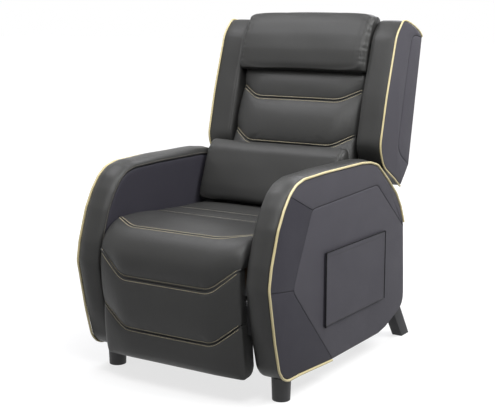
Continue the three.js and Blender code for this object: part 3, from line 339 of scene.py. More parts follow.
def rounded(points, radius, closed=True, arc=5):
    """Rounds each corner of an outline, by at most the radius, one for all corners or one
    for each, and under half an edge."""
    radii = np.broadcast_to(radius, len(points))
    points = [np.asarray(p, float) for p in points]
    count = len(points)
    out = []
    for i, p in enumerate(points):
        if not closed and i in (0, count - 1):
            out.append(p)
            continue
        before, after = points[i - 1] - p, points[(i + 1) % count] - p
        a, b = np.linalg.norm(before), np.linalg.norm(after)
        turn = math.pi - math.acos(np.clip(np.dot(before, after) / (a * b), -1, 1))
        reach = min(radii[i] * math.tan(turn / 2), 0.48 * a, 0.48 * b)
        start, end = p + before / a * reach, p + after / b * reach
        for k in range(arc + 1):
            t = k / arc
            out.append((1 - t) ** 2 * start + 2 * t * (1 - t) * p + t * t * end)
    return np.array(out)


def run_along(line):
    """How far along a line each of its points lies."""
    return np.r_[0, np.cumsum(np.linalg.norm(np.diff(line, axis=0), axis=1))]


def spaced(points, step, closed=True):
    """The same line with its points at even distances."""
    line = np.vstack([points, points[:1]]) if closed else np.asarray(points)
    lengths = run_along(line)
    count = max(2, int(round(lengths[-1] / step)))
    at = np.linspace(0, lengths[-1], count + 1)
    if closed:
        at = at[:-1]
    return np.column_stack([np.interp(at, lengths, line[:, k]) for k in range(line.shape[1])])


def eased(loop, passes):
    """The same closed line with its corners eased."""
    for _ in range(passes):
        loop = (2 * loop + np.roll(loop, 1, axis=0) + np.roll(loop, -1, axis=0)) / 4
    return loop


def outward(loop):
    """Unit normals of a flat loop walked anticlockwise in y, z."""
    along = np.roll(loop, -1, axis=0) - np.roll(loop, 1, axis=0)
    along /= np.linalg.norm(along, axis=1)[:, None]
    return np.column_stack([along[:, 1], -along[:, 0]])


def new_object(name, data):
    made = bpy.data.objects.new(name, data)
    bpy.context.scene.collection.objects.link(made)
    return activate(made)


def mesh_piece(name, points, faces, smooth_angle=60):
    """A new object of these points and faces, with its faces turned outwards."""
    mesh = bpy.data.meshes.new(name)
    mesh.from_pydata([tuple(p) for p in points], [], [tuple(f) for f in faces])
    made = new_object(name, mesh)
    edit_whole(made)
    bpy.ops.mesh.normals_make_consistent(inside=False)
    bpy.ops.object.mode_set(mode="OBJECT")
    if smooth_angle:
        bpy.ops.object.shade_smooth_by_angle(angle=math.radians(smooth_angle))
    return made


def grid_faces(rows, columns, closed=False):
    """The faces of a grid of points. Its rows may close into rings."""
    return [(r * columns + c, r * columns + (c + 1) % columns,
             (r + 1) * columns + (c + 1) % columns, (r + 1) * columns + c)
            for r in range(rows - 1) for c in range(columns if closed else columns - 1)]


def tube_faces(rings, count):
    """The faces of a tube of rings, with a face over each end."""
    ends = [tuple(range(count))[::-1], tuple(range((rings - 1) * count, rings * count))]
    return grid_faces(rings, count, closed=True) + ends


def band(name, loop, profile, crown_share, ripple, seed):
    """A padded band round a loop. Its profile lists x, offset and crown from the inner
    edge to the outer one, and the crown is scaled along the loop."""
    normals = outward(loop)
    easy_normals = eased(normals, 40)
    around = np.linspace(0, 2 * math.pi, len(loop), endpoint=False)
    random = np.random.default_rng(seed)
    waves = sum(random.uniform(-1, 1) * np.sin(around * k + random.uniform(0, FULL_TURN))
                for k in range(5, 16))
    points = []
    for x, offset, crown in profile:
        bulge = offset + crown * crown_share + ripple * waves * min(1.0, crown / 8) * crown_share
        inside = min(1.0, abs(min(0.0, offset)) / 8)
        ring = loop + (normals * (1 - inside) + easy_normals * inside) * (bulge * MM)[:, None]
        points += [(x * MM, y, z) for y, z in ring]
    return mesh_piece(name, points, tube_faces(len(profile), len(loop)))


def both_sides(made, finish, body, node=None):
    """Dresses a left-hand piece, and its mirror image on the chair's right."""
    dress(made, finish, body, node and node + "_left")
    other = duplicate(made, made.name.replace("left", "right"))
    other.data.transform(Matrix.Scale(-1, 4, (1, 0, 0)))
    other.data.flip_normals()
    dress(other, finish, body, node and node + "_right")


def thread(name, points, radius, resolution=4, shares=None):
    """A round cord through the points, as a mesh. Shares make it thicker or thinner."""
    curve = bpy.data.curves.new(name, "CURVE")
    curve.dimensions = "3D"
    curve.bevel_depth = radius
    curve.bevel_resolution = resolution
    curve.use_fill_caps = True
    line = curve.splines.new("POLY")
    line.points.add(len(points) - 1)
    for target, p, share in zip(line.points, points, shares or [1] * len(points)):
        target.co = (*p, 1)
        target.radius = share
    new_object(name, curve)
    bpy.ops.object.convert(target="MESH")
    bpy.ops.object.shade_smooth()
    return bpy.context.object


black_leather = grained("black coated leather", (0.024, 0.024, 0.023), (0.044, 0.044, 0.043), (0.3, 0.42),
                        0.0013, 0.5, 0.00012, specular=0.22)
panel_leather = grained("bluish grey panel leather", (0.049, 0.047, 0.056), (0.082, 0.079, 0.092),
                        (0.5, 0.68), 0.001, 0.5, 0.00012, specular=0.12)
# painted shade: a darker copy of the panel leather, for faces that get less light: the arms' front and toe
# facets, their inner panels and the pocket gusset
shaded_panel_leather = grained("dark panel leather", (0.024, 0.023, 0.03), (0.042, 0.04, 0.05), (0.5, 0.68),
                        0.001, 0.5, 0.00012, specular=0.12)
gold_piping = grained("gold piping leather", (0.43, 0.355, 0.165), (0.7, 0.625, 0.39), (0.36, 0.5),
                      0.0008, 0.8, 0.00008)
# along and across a thread: how many streaks a metre, and how twisted
TWIST = (1500.0, 2600.0, 0.2)
stitch_thread = streaked("khaki gold thread", (0.34, 0.29, 0.17), (0.62, 0.55, 0.38), (0.45, 0.7),
                         *TWIST, 0.0002)
dark_thread = streaked("dark grey thread", (0.03, 0.03, 0.03), (0.1, 0.1, 0.1), (0.45, 0.7),
                       *TWIST, 0.0002)
grey_thread = streaked("warm grey thread", (0.13, 0.12, 0.1), (0.28, 0.26, 0.22), (0.45, 0.7),
                       *TWIST, 0.0002)
# painted shade: a black cord laid along the seams so that they read as dark lines, covering the facets' lit
# edges
seam_shade_cord = streaked("black seam cord with painted shade", (0.006, 0.006, 0.007), (0.014, 0.014, 0.015), (0.6, 0.8),
                     *TWIST, 0.0001, specular=0.08)

# The stitch that every row repeats: a short thread whose ends dip into the hide.
bpy.ops.mesh.primitive_uv_sphere_add(segments=6, ring_count=6, radius=1)
bead = bpy.context.object
edit_whole(bead)
bpy.ops.transform.rotate(value=math.pi / 2, orient_axis="Y", center_override=(0, 0, 0))
bpy.ops.object.mode_set(mode="OBJECT")
STITCH_POINTS = np.array([v.co[:] for v in bead.data.vertices])
STITCH_POINTS[:, 2] -= 0.6 * STITCH_POINTS[:, 0] ** 2
STITCH_FACES = [tuple(f.vertices) for f in bead.data.polygons]
bpy.data.objects.remove(bead)


def surface_of(obj):
    """The object's surface, to find the nearest point on it."""
    return BVHTree.FromPolygons([v.co[:] for v in obj.data.vertices],
                                [tuple(f.vertices) for f in obj.data.polygons])


def stitching(name, rows, cloth, body, pitch=6.0, length=5.0, thickness=1.7, finish=stitch_thread):
    """Rows of stitches laid on a piece's surface along the given lines, in metres."""
    leather = surface_of(cloth)
    points, faces = [], []
    shape = STITCH_POINTS * np.array([length / 2, thickness / 2, thickness / 2]) * MM
    for row in rows:
        line = spaced(row, pitch * MM, closed=False)
        for here, there in zip(line[:-1], line[1:]):
            found, normal, _, _ = leather.find_nearest(Vector((here + there) / 2))
            along = Vector(there - here)
            along = (along - normal * along.dot(normal)).normalized()
            turn = np.array([along, normal.cross(along), normal])
            base = len(points)
            points.extend(shape @ turn + np.array(found + normal * (0.25 * thickness * MM)))
            faces.extend(tuple(base + k for k in f) for f in STITCH_FACES)
    dress(mesh_piece(name, points, faces, 180), finish, body)


arm_outline = [drawn(y * ARM_DEPTH, z * ARM_TOP) for y, z in ARM_SHARES]
arm_loop = spaced(rounded(arm_outline, ARM_ROUND), 0.007)
# the band swells above the arm's foot, from 19 % to 39 % of its height
crown_share = np.clip((arm_loop[:, 1] / (ARM_TOP * MM) - 0.19) / 0.2, 0, 1)
crown_share = crown_share ** 2 * (3 - 2 * crown_share)
# x, offset and crown of the band from the inner seam, over the top, to the piping
ARM_PROFILE = [
    (262.5, -15.6, 0), (259.2, -15.3, 0), (257.8, -14.2, 0), (257.2, -12, 0), (257.4, -9.5, 0),
    (258.2, -7, 0.2), (259.8, -4.6, 0.6), (262, -2.6, 1.2), (265, -1, 2.1), (269, 0.2, 3.3),
    (274, 0.5, 5), (280, 0.4, 6.8), (287, 0.2, 8.4), (294, 0, 9.6), (301, 0, 10), (308, 0, 9.6),
    (315, 0, 8.4), (321, 0, 6.8), (326, 0, 4.8), (330, -0.2, 2.6), (332.4, -1, 1), (333.3, -2.6, 0),
    (333.3, -6, 0)]
arm_band = band("arm_band_left", arm_loop, ARM_PROFILE, crown_share, ripple=0.22, seed=4)
both_sides(arm_band, black_leather, "base", "arm_cover")

# The inner panel is one piece of panel leather, padded and sewn inside the band, in the darker copy of that
# leather as painted shade. It
# swells from its sewn edge: each step is a distance in and an x.
INNER_PANEL_STEPS = [
    (0, 263.4), (0.7, 261.6), (1.6, 260.2), (3, 259.3), (6, 258.7), (12, 258.4), (26, 258.15)]
PANEL_MIDDLE = np.array([0, 0.33])
inner_edge = spaced(arm_loop - outward(arm_loop) * 15.9 * MM, 0.008)
points = []
for distance, x in INNER_PANEL_STEPS:
    ring = inner_edge - outward(inner_edge) * distance * MM
    ring = ring + (PANEL_MIDDLE - ring) * 0.12 * min(1.0, distance / 40)
    points += [(x * MM, y, z) for y, z in ring]
inner_panel = mesh_piece("arm_inner_left", points, tube_faces(len(INNER_PANEL_STEPS), len(inner_edge)))
both_sides(inner_panel, shaded_panel_leather, "base", "arm_inner_panel")

# Its stitches run along the band's inner edge, above 200 mm.
inner_seam = arm_loop - outward(arm_loop) * 9.4 * MM
inner_seam = inner_seam[inner_seam[:, 1] > 0.2]
split = np.abs(np.diff(inner_seam, axis=0)).sum(axis=1).argmax() + 1
inner_seam = np.roll(inner_seam, -split, axis=0)
for side, sign in SIDES:
    stitching(f"inner_seam_stitches_{side}", [np.array([(sign * 257.3 * MM, y, z) for y, z in inner_seam])],
              bpy.data.objects[f"arm_band_{side}"], "base", finish=grey_thread, thickness=1.0)

# The outer panel is cut from four facets of panel leather, sewn edge to edge; the front and toe facets are
# in the darker copy of that leather, as painted shade.
PANEL_CORNERS = {
    "top_front": (-0.2247, 0.8492), "top_rear": (0.2529, 0.873), "knee": (-0.3494, 0.5095),
    "foot": (-0.0753, 0.0952), "top_edge": (-0.3718, 0.9397), "rear_edge": (0.4871, 0.6159),
    "front_edge": (-0.4941, 0.5365)}
AT_THE_EDGE = ("rear_edge", "top_edge", "front_edge", "foot")
corner = {key: drawn(y * ARM_DEPTH, z * ARM_TOP) for key, (y, z) in PANEL_CORNERS.items()}


def nearest(line, point):
    return int(np.argmin(np.linalg.norm(np.asarray(line) - point, axis=1)))


def walk(loop, start, end):
    """The loop's points from the one nearest start to the one nearest end."""
    a, b = nearest(loop, start), nearest(loop, end)
    if b <= a:
        b += len(loop)
    return [loop[i % len(loop)] for i in range(a, b + 1)]


def facet(name, outline, x, swell=0.5):
    """One sewn facet of leather on the left, with rolled edges, standing out from x."""
    outline = np.asarray(outline)
    outline = [p for i, p in enumerate(outline) if np.linalg.norm(p - outline[i - 1]) > 0.0004]
    made = mesh_piece(name, [(x * MM, y, z) for y, z in outline], [range(len(outline))], smooth_angle=None)
    if made.data.polygons[0].normal.x < 0:
        made.data.flip_normals()
    edit_whole(made)
    bpy.ops.mesh.inset(thickness=0.0005, depth=0, use_even_offset=False)
    bpy.ops.mesh.extrude_region_move(TRANSFORM_OT_translate={"value": (0.0016, 0, 0)})
    for thickness, depth in ((0.0005, 0.0008), (0.001, 0.0007), (0.002, 0.0004), (0.004, swell * MM)):
        bpy.ops.mesh.inset(thickness=thickness, depth=depth, use_even_offset=False)
    bpy.ops.object.mode_set(mode="OBJECT")
    bpy.ops.object.shade_smooth_by_angle(angle=math.radians(60))
    return made


def with_corners(outline, corners, clear=0.011):
    """The outline with a point set at each corner, and no other point close beside one."""
    outline = list(np.asarray(outline))
    for point in corners:
        best = None
        for i, a in enumerate(outline):
            edge = outline[(i + 1) % len(outline)] - a
            on_line = a + edge * np.clip(np.dot(point - a, edge) / max(np.dot(edge, edge), 1e-12), 0, 1)
            gap = np.linalg.norm(point - on_line)
            if best is None or gap < best[0]:
                best = (gap, i, on_line)
        outline.insert(best[1] + 1, best[2])
    kept = []
    for place in outline:
        gap = min(np.linalg.norm(place - point) for point in corners)
        is_corner = any(np.array_equal(place, outline[nearest(outline, point)]) for point in corners)
        if is_corner or gap > clear:
            kept.append(place)
    return np.array(kept)


panel_loop = rounded(arm_outline, ARM_ROUND, arc=4)
panel_loop = panel_loop - outward(panel_loop) * 3.6 * MM
panel_loop = with_corners(panel_loop, [corner[key] for key in AT_THE_EDGE])
for key in AT_THE_EDGE:
    corner[key] = panel_loop[nearest(panel_loop, corner[key])]
seam_path = rounded([corner[key] for key in ("rear_edge", "top_rear", "top_front", "knee", "foot")],
                    0.03, closed=False, arc=4)
at_top_front = nearest(seam_path, corner["top_front"])
at_knee = nearest(seam_path, corner["knee"])
# each facet: its name, where it starts and ends on the panel's edge, the seam back, and its leather
for key, start, end, seam, finish in (
        ("top", "rear_edge", "top_edge", seam_path[1:at_top_front + 1][::-1], panel_leather),
        ("front", "top_edge", "front_edge", seam_path[at_top_front:at_knee + 1][::-1], shaded_panel_leather),
        ("toe", "front_edge", "foot", seam_path[at_knee:-1][::-1], shaded_panel_leather),
        ("middle", "foot", "rear_edge", seam_path[1:-1], panel_leather)):
    outline = walk(panel_loop, corner[start], corner[end]) + list(seam)
    both_sides(facet(f"arm_{key}_facet_left", outline, 333.7), finish, "base",
               "arm_outer_panel")


def seam_shade_tape(name, x, line, body):
    """A thin black cord in a seam between two facets, on both sides of the chair: partly the seam's own
    dark tape, partly painted shade, wide enough to cover the facets' lit edges.
    """
    tape = thread(name, [(x * MM, y, z) for y, z in line], 1.4 * MM, resolution=2)
    both_sides(tape, seam_shade_cord, body)


def piping(name, x, path, radius, body):
    """A gold cord sewn in along the same path on both sides of the chair."""
    for side, sign in SIDES:
        cord = thread(f"{name}_cord_{side}", [(sign * x * MM, y, z) for y, z in path], radius * MM)
        dress(cord, gold_piping, body, f"{name}_{side}")


for k, line in enumerate((seam_path, (corner["top_edge"], corner["top_front"]),
                          (corner["front_edge"], corner["knee"]))):
    seam_shade_tape(f"arm_seam_tape_{k + 1}_left", 335, spaced(np.array(line), 0.006, closed=False), "base")

# The piping lies between the band and the outer panel, over the top and down the front.
piping_line = spaced(rounded(arm_outline, ARM_ROUND), 0.004)
piping_line = piping_line + outward(piping_line) * 0.4 * MM
arm_piping_path = walk(piping_line, corner["rear_edge"] + [0, 0.012], corner["foot"])
piping("arm_piping", 336.8, arm_piping_path, 3.6, "base")

# ----------------------------
# Side pocket: a flat sheet of panel leather with a turned hem, held off the arm
# by a narrow gusset along its two sides and its bottom.
POCKET_WIDE, POCKET_TALL, POCKET_FACE = 385, 221, 343.75
POCKET_LOW, POCKET_HIGH = drawn(-120, 176), drawn(265, 397)
gusset = soft_edges(copy_of("pocket_gusset", "pocket_side_gusset"), 0.0012)
# the gusset is in the darker copy of the panel leather: painted shade
dress(gusset, shaded_panel_leather, "base", "pocket_gusset")

columns = np.linspace(0, 1, 78)
heights = np.r_[np.linspace(0, 0.925, 44), 0.935, 0.94, 0.945, 0.955, 0.97, 0.985, 0.994, 1]
points = []
for v in heights:
    for u in columns:
        middle = math.sin(math.pi * u)
        belly = 1.3 * middle ** 0.7 * v ** 1.5
        hem = 0.55 if v > 0.942 else 0.0
        from_side, from_bottom = min(u, 1 - u) * POCKET_WIDE, v * POCKET_TALL
        edge_roll = -0.9 * math.exp(-from_side / 1.6) - 0.9 * math.exp(-from_bottom / 1.6)
        x = POCKET_FACE + belly + hem + edge_roll + 0.25 * math.sin(9 * u + 4 * v) * middle
        y, z = POCKET_LOW + (POCKET_HIGH - POCKET_LOW) * (u, v)
        points.append((x * MM, y, z - 0.0016 * middle * v ** 3))
pocket = mesh_piece("pocket_sheet", points, grid_faces(len(heights), len(columns)))
wall = pocket.modifiers.new("leather thickness", "SOLIDIFY")
wall.thickness = 0.0013
wall.offset = -1
dress(finish_modifiers(pocket), panel_leather, "base", "pocket_front")

# A black binding runs up the front side, over the mouth and down the rear side; it also stands in, as
# painted shade, for the dark shadow gap along these edges. It is thinner at the rear, and thicker where it
# is knotted at the corners.
(y_low, z_low), (y_high, z_high) = POCKET_LOW, POCKET_HIGH
binding_path = rounded([(y_low, z_low - 0.002), (y_low, z_high), (y_high, z_high), (y_high, z_low + 0.002)],
                       0.004, closed=False)
binding_line = spaced(binding_path, 0.003, closed=False)
binding_shares = []
for y, z in binding_line:
    share = 1.0 if y < y_low + 0.003 else 0.6 if y > y_high - 0.003 else 0.9
    knot = min(math.hypot(y - a, z - b) for a, b in ((y_low, z_high), (y_high, z_high), (y_low, z_low)))
    binding_shares.append(share + 0.5 * math.exp(-(knot / 0.005) ** 2))
binding_and_shade = thread("pocket_binding_and_shade", [(0.3443, y, z) for y, z in binding_line], 0.0019, shares=binding_shares)
dress(binding_and_shade, seam_shade_cord, "base")
HEM_IN, HEM_FACE = 0.004, 0.346
y_line = np.linspace(y_low + HEM_IN, y_high - HEM_IN, 60)
z_line = np.linspace(z_low + HEM_IN, z_high - HEM_IN, 40)
stitching("pocket_hem_stitches",
          [np.array([(HEM_FACE, y, z) for y in y_line]) for z in (z_high - 0.0155, z_low + HEM_IN)]
          + [np.array([(HEM_FACE, y, z) for z in z_line]) for y in (y_low + HEM_IN, y_high - HEM_IN)],
          pocket, "base", finish=dark_thread, thickness=0.7, pitch=5, length=3.8)

# ----------------------------
# Seat cushion: foam under black leather, quilted by two straight seams and a
# double-stitched chevron at the front edge, with a full roll over the front rail.
KINK, KINK_EASE = 157, 0.022
EDGE_ROUND = 13
# a panel's rows: at these millimetres from its seams, and evenly between the outermost two
BY_THE_SEAM = [0.5, 1.1, 1.8, 2.6, 3.4, 4.1, 4.8, 5.5, 6.4, 7.8, 10, 13, 17, 22, 28]
EVEN_FROM = 30 * MM
FINE_ROW, FINE_COLUMN, COARSE_ROW, COARSE_COLUMNS = 6.5, 2.6, 7, 75
SEWING_REACH = 60
# each kind of sewing as bumps of height, distance from the seam and width, and its puckers
SEWING = {
    "double": ([(-3.0, 0, 1.7), (-0.6, 5.5, 1.1), (0.35, 3.2, 0.9)], (0.16, 13, 9)),
    "plain": ([(-1.8, 0, 1.5), (0.5, 4, 1.6)], (0.12, 9, 7)),
    "edge": ([(-0.6, 5.5, 1.1), (-0.8, 0, 0.8)], (0.16, 13, 9)),
    "open": ([], (0, 0, 1))}
SEAM_DEPTH = {"double": -3.4, "plain": -2.4}


def settle(points, faces, pinned, pressure, cap):
    """Lets the leather find its own shape over its filling, held at the sewn points.
    Points move at most about the cap, in metres."""
    mesh = bpy.data.meshes.new("filling trial")
    mesh.from_pydata([tuple(p) for p in points], [], faces)
    trial = bpy.data.objects.new("filling trial", mesh)
    bpy.context.scene.collection.objects.link(trial)
    trial.vertex_groups.new(name="sewn").add([int(i) for i in pinned], 1.0, "REPLACE")
    cloth = trial.modifiers.new("filling", "CLOTH").settings
    cloth.vertex_group_mass = "sewn"
    cloth.use_pressure = True
    cloth.uniform_pressure_force = pressure
    cloth.mass = 0.05
    cloth.tension_stiffness = cloth.compression_stiffness = 15
    cloth.shear_stiffness = 5
    cloth.bending_stiffness = 0.5
    cloth.effector_weights.gravity = 0
    for step in range(1, 21):
        bpy.context.scene.frame_set(step)
    shaped = trial.evaluated_get(bpy.context.evaluated_depsgraph_get()).data
    moved = np.array([v.co[:] for v in shaped.vertices]) - points
    bpy.context.scene.frame_set(1)
    bpy.data.objects.remove(trial)
    far = np.linalg.norm(moved, axis=1)
    far[far < 1e-9] = 1e-9
    return points + moved * (cap * np.tanh(far / cap) / far)[:, None]


def smooth_read(grid, at, axis):
    """Reads a grid between its rows, or its columns, along a smooth curve."""
    grid = np.moveaxis(grid, axis, 0)
    at = np.clip(at, 0, len(grid) - 1)
    low = np.minimum(at.astype(int), len(grid) - 2)
    t = (at - low).reshape(-1, *([1] * (grid.ndim - 1)))
    p = [grid[np.clip(low + k, 0, len(grid) - 1)] for k in (-1, 0, 1, 2)]
    read = p[1] + 0.5 * t * (p[2] - p[0] + t * (2 * p[0] - 5 * p[1] + 4 * p[2] - p[3]
                                              + t * (3 * (p[1] - p[2]) + p[3] - p[0])))
    return np.moveaxis(read, 0, axis)


def grid_normals(grid, closed=False):
    """Unit normals of a grid of points. Its rows may close into rings."""
    across = np.roll(grid, -1, axis=1) - np.roll(grid, 1, axis=1) if closed else np.gradient(grid, axis=1)
    normals = np.cross(across, np.gradient(grid, axis=0))
    return normals / np.maximum(np.linalg.norm(normals, axis=2), 1e-12)[:, :, None]


def place_of(kind, amount, length):
    """How far along a panel of this length a mark lies: at so many millimetres from its
    start or its end, at a share of the part with even rows, or at a share of the whole."""
    return {"start": amount * MM, "end": length - amount * MM, "whole": amount * length,
            "even": EVEN_FROM + (length - 2 * EVEN_FROM) * amount}[kind]


def bump(d, height, centre, width):
    return height * math.exp(-((d - centre) / width) ** 2)


def quilted(name, rows, half, swells, humps, strips, seams, backs, body, node, cap, seed=3, wrap=None):
    """A pad sewn across in rows. Each row has its place at the middle and at the sides;
    between rows the leather swells, past flat strips below and above each seam. Seams name
    each row's sewing: open, plain, edge or double. A wrap takes the sides back round a board."""
    half_m, kink = half * MM, KINK * MM
    middles, sides = (np.array([row[k] for row in rows]) for k in (0, 1))
    panels = len(rows) - 1
    random = np.random.default_rng(seed)
    t = (1 - np.cos(np.linspace(0, math.pi, 221))) / 2

    def column(x):
        """One column of the leather at x, as a fine line for each panel."""
        share = min(1.0, abs(x) / half_m)
        bend = min(1.0, max(0.0, (abs(x) - kink) / (half_m - kink)))
        near = (abs(x) - kink) / KINK_EASE
        if abs(near) < 1:
            bend = (near + 1) ** 2 / 4 * KINK_EASE / (half_m - kink)
        fall = math.sqrt(1 - 0.85 * share ** 6)
        beyond = max(0.0, abs(x) - (half_m - EDGE_ROUND * MM))
        drop = EDGE_ROUND * MM - math.sqrt(max(0.0, (EDGE_ROUND * MM) ** 2 - beyond ** 2))
        lines = []
        for p in range(panels):
            start = middles[p] + (sides[p] - middles[p]) * bend
            end = middles[p + 1] + (sides[p + 1] - middles[p + 1]) * bend
            chord = end - start
            out = np.array([-chord[1], chord[0]]) / np.linalg.norm(chord)
            wide_m = np.linalg.norm(chord)
            low_strip, high_strip = strips[p][1] * MM, strips[p + 1][0] * MM
            past = np.clip((t * wide_m - low_strip) / (wide_m - low_strip - high_strip), 0, 1)
            low, high = humps[p]
            peak = low / (low + high)
            hump = past ** low * (1 - past) ** high / (peak ** low * (1 - peak) ** high)
            lift = swells[p] * MM * hump * fall - drop * (0.45 + 0.55 * hump)
            y_z = start + chord * t[:, None] + out * lift[:, None]
            wide = x * (1 - 0.016 * (1 - hump) * share ** 4)
            lines.append(np.column_stack([wide, y_z]))
        return lines

    def sampled(xs, marks):
        """The leather's points at each x and each mark."""
        out = np.zeros((len(marks), len(xs), 3))
        for c, x in enumerate(xs):
            lines = column(x)
            runs = [run_along(line) for line in lines]
            for r, (p, kind, amount) in enumerate(marks):
                at = place_of(kind, amount, runs[p][-1])
                out[r, c] = [np.interp(at, runs[p], lines[p][:, k]) for k in range(3)]
        return out

    # the fine rows of the finished leather, and the coarse ones that it settles by
    lengths = [run_along(line)[-1] for line in column(0.0)]
    marks, seam_line, coarse_marks, first_coarse = [], [], [], []
    for p, length in enumerate(lengths):
        seam_line.append(len(marks))
        marks += [(p, "start", d) for d in [0.0] + BY_THE_SEAM]
        steps = max(2, int((length - 2 * EVEN_FROM) / MM / FINE_ROW))
        marks += [(p, "even", k / steps) for k in range(steps + 1)]
        marks += [(p, "end", d) for d in BY_THE_SEAM[::-1]]
        first_coarse.append(len(coarse_marks))
        steps = max(6, int(length / MM / COARSE_ROW))
        coarse_marks += [(p, "whole", k / steps) for k in range(steps)]
    seam_line.append(len(marks))
    first_coarse.append(len(coarse_marks))
    marks.append((panels - 1, "end", 0.0))
    coarse_marks.append((panels - 1, "whole", 1.0))

    flat = half - EDGE_ROUND
    arc = [flat + EDGE_ROUND * math.sin(math.radians(a)) for a in (14, 28, 41, 53, 64, 74, 82, 90)]
    even = np.linspace(-flat, flat, int(2 * flat / FINE_COLUMN) | 1)
    xs = np.r_[[-x for x in arc[::-1]], even, arc] * MM
    fine = sampled(xs, marks)
    coarse = sampled(np.linspace(-half_m, half_m, COARSE_COLUMNS), coarse_marks)
    row_count, column_count = coarse.shape[:2]
    held = [r * column_count + c for r, mark in enumerate(coarse_marks) for c in range(column_count)
            if mark[2] in (0, 1.0) or c in (0, column_count - 1)]
    settled = settle(coarse.reshape(-1, 3), grid_faces(row_count, column_count), held, 4, cap * MM)
    moved = settled.reshape(coarse.shape) - coarse
    # where each fine row lies: as a share of its panel at the middle, then among the coarse rows
    at = [place_of(kind, amount, lengths[p]) for p, kind, amount in marks]
    shares = [d / lengths[p] for d, (p, _, _) in zip(at, marks)]
    at_row = [first_coarse[p] + (first_coarse[p + 1] - first_coarse[p]) * share
              for share, (p, _, _) in zip(shares, marks)]
    at_column = (np.clip(xs / half_m, -1, 1) + 1) / 2 * (column_count - 1)
    fine = fine + smooth_read(smooth_read(moved, np.array(at_row), 0), at_column, 1)

    # the sewing: a groove at the seam, and a shallow channel under each row of stitches
    normals = grid_normals(fine)
    relief = np.zeros(fine.shape[:2])
    waves = [(random.uniform(0.05, 0.22), random.uniform(0, FULL_TURN), random.uniform(0.4, 1))
             for _ in range(9)]
    pucker = sum(a * np.sin(xs / MM * f + o) for f, o, a in waves)
    for r, (p, _, _) in enumerate(marks):
        for row, d in ((p, at[r] / MM), (p + 1, (lengths[p] - at[r]) / MM)):
            if d <= SEWING_REACH:
                bumps, puckers = SEWING[seams[row]]
                relief[r] += sum(bump(d, *each) for each in bumps) + pucker * bump(d, *puckers)
    for row in range(1, panels):
        if seams[row] in SEAM_DEPTH:
            relief[seam_line[row]] = SEAM_DEPTH[seams[row]]
    # and broad unevenness, away from the seams and the sides
    broad = sum(random.uniform(-1, 1) * np.sin(
        xs[None, :] * random.uniform(10, 34) + fine[:, :, 1] * random.uniform(-30, 30)
        + fine[:, :, 2] * random.uniform(-30, 30) + random.uniform(0, FULL_TURN)) for _ in range(8))
    away = np.convolve([float(kind == "even") for _, kind, _ in marks], np.ones(9) / 9, mode="same")
    fade = np.clip((half_m - np.abs(xs)) / 0.03, 0, 1)
    relief += 0.22 * broad * away[:, None] * fade[None, :]
    fine = fine + normals * (relief * MM)[:, :, None]

    # the closed underside, wide and flat
    rows_fine, columns_fine = fine.shape[:2]
    points = fine.reshape(-1, 3).tolist()
    faces = grid_faces(rows_fine, columns_fine)
    edge, board = half_m - 4 * MM, half_m - 14 * MM
    under_at = [(-edge, 0), (-kink, 0), (kink, 0), (edge, 0)]
    if wrap:
        under_at = ([(-edge, 1), (-board, 1), (-board, 0)] + under_at[1:-1]
                    + [(board, 0), (board, 1), (edge, 1)])
    base, wide = len(points), len(under_at)
    for share, (p, _, _) in zip(shares, marks):
        for x, deeper in under_at:
            a, b = (np.asarray(backs[row][1 if abs(x) > kink else 0]) for row in (p, p + 1))
            y, z = a + (b - a) * share
            if deeper:
                y += np.interp(z / MM, *wrap) * MM
            points.append((x, y, z))
    for r in range(rows_fine - 1):
        here, there = base + r * wide, base + (r + 1) * wide
        first, last = r * columns_fine, (r + 1) * columns_fine - 1
        faces += [(here + k, there + k, there + k + 1, here + k + 1) for k in range(wide - 1)]
        faces.append((first, first + columns_fine, there, here))
        faces.append((last, here + wide - 1, there + wide - 1, last + columns_fine))
    for r, way in ((0, 1), (rows_fine - 1, -1)):
        over = tuple(range(r * columns_fine, (r + 1) * columns_fine))
        under = tuple(range(base + r * wide, base + (r + 1) * wide))
        faces.append(over[::way] + under[::-way])
    pad = mesh_piece(name, points, faces, 75)
    dress(pad, black_leather, body, node)

    gold_rows, grey_rows = [], []
    inside = slice(6, columns_fine - 6)
    beside = 1 + BY_THE_SEAM.index(5.5)
    for row, sewing in enumerate(seams):
        if sewing in ("double", "edge") and row < panels:
            gold_rows.append(fine[seam_line[row] + beside, inside])
        if sewing in ("double", "edge") and row > 0:
            gold_rows.append(fine[seam_line[row] - beside, inside])
        if sewing == "plain":
            grey_rows.append(fine[seam_line[row] + 1 + BY_THE_SEAM.index(3.4), inside])
    stitching(f"{name}_stitches", gold_rows, pad, body, thickness=1.9)
    if grey_rows:
        stitching(f"{name}_cross_stitches", grey_rows, pad, body, thickness=1.5, finish=grey_thread)


def side_view(*places):
    return [drawn(y, z) for y, z in places]


CUSHION_BOTTOM = 404.2
APRON_FRONT = -385.3
quilted("quilted_seat",
        rows=[side_view((-440, 326.5), (-425, 397.5)), side_view((-386, 467), (-331, 478)),
              side_view((-155, 468)) * 2, side_view((-45, 463)) * 2, side_view((150, 455)) * 2],
        half=250, swells=[33, 10, 5, 6], humps=[(0.75, 0.85), (0.8, 0.7), (0.6, 0.6), (0.6, 0.6)],
        strips=[(0, 7), (1, 7), (0, 0), (0, 0), (0, 0)],
        seams=["edge", "double", "plain", "plain", "open"],
        backs=[side_view((APRON_FRONT, 331), (APRON_FRONT, 399))]
        + [side_view((y, CUSHION_BOTTOM)) * 2 for y in (APRON_FRONT, -155, -45, 150)],
        body="base", node="seat_cushion", cap=5)

# ----------------------------
# Footrest pad: foam and leather stapled to the footrest board. It carries on the
# seat's front, with one double-stitched chevron, and swings out with the board.
BOARD_LEAN = math.radians(5)


def on_board(z):
    """The board's front face at this height, as a side view's millimetres."""
    return (-378 - 14.3 / math.cos(BOARD_LEAN) - (z - 177) * math.tan(BOARD_LEAN), z)


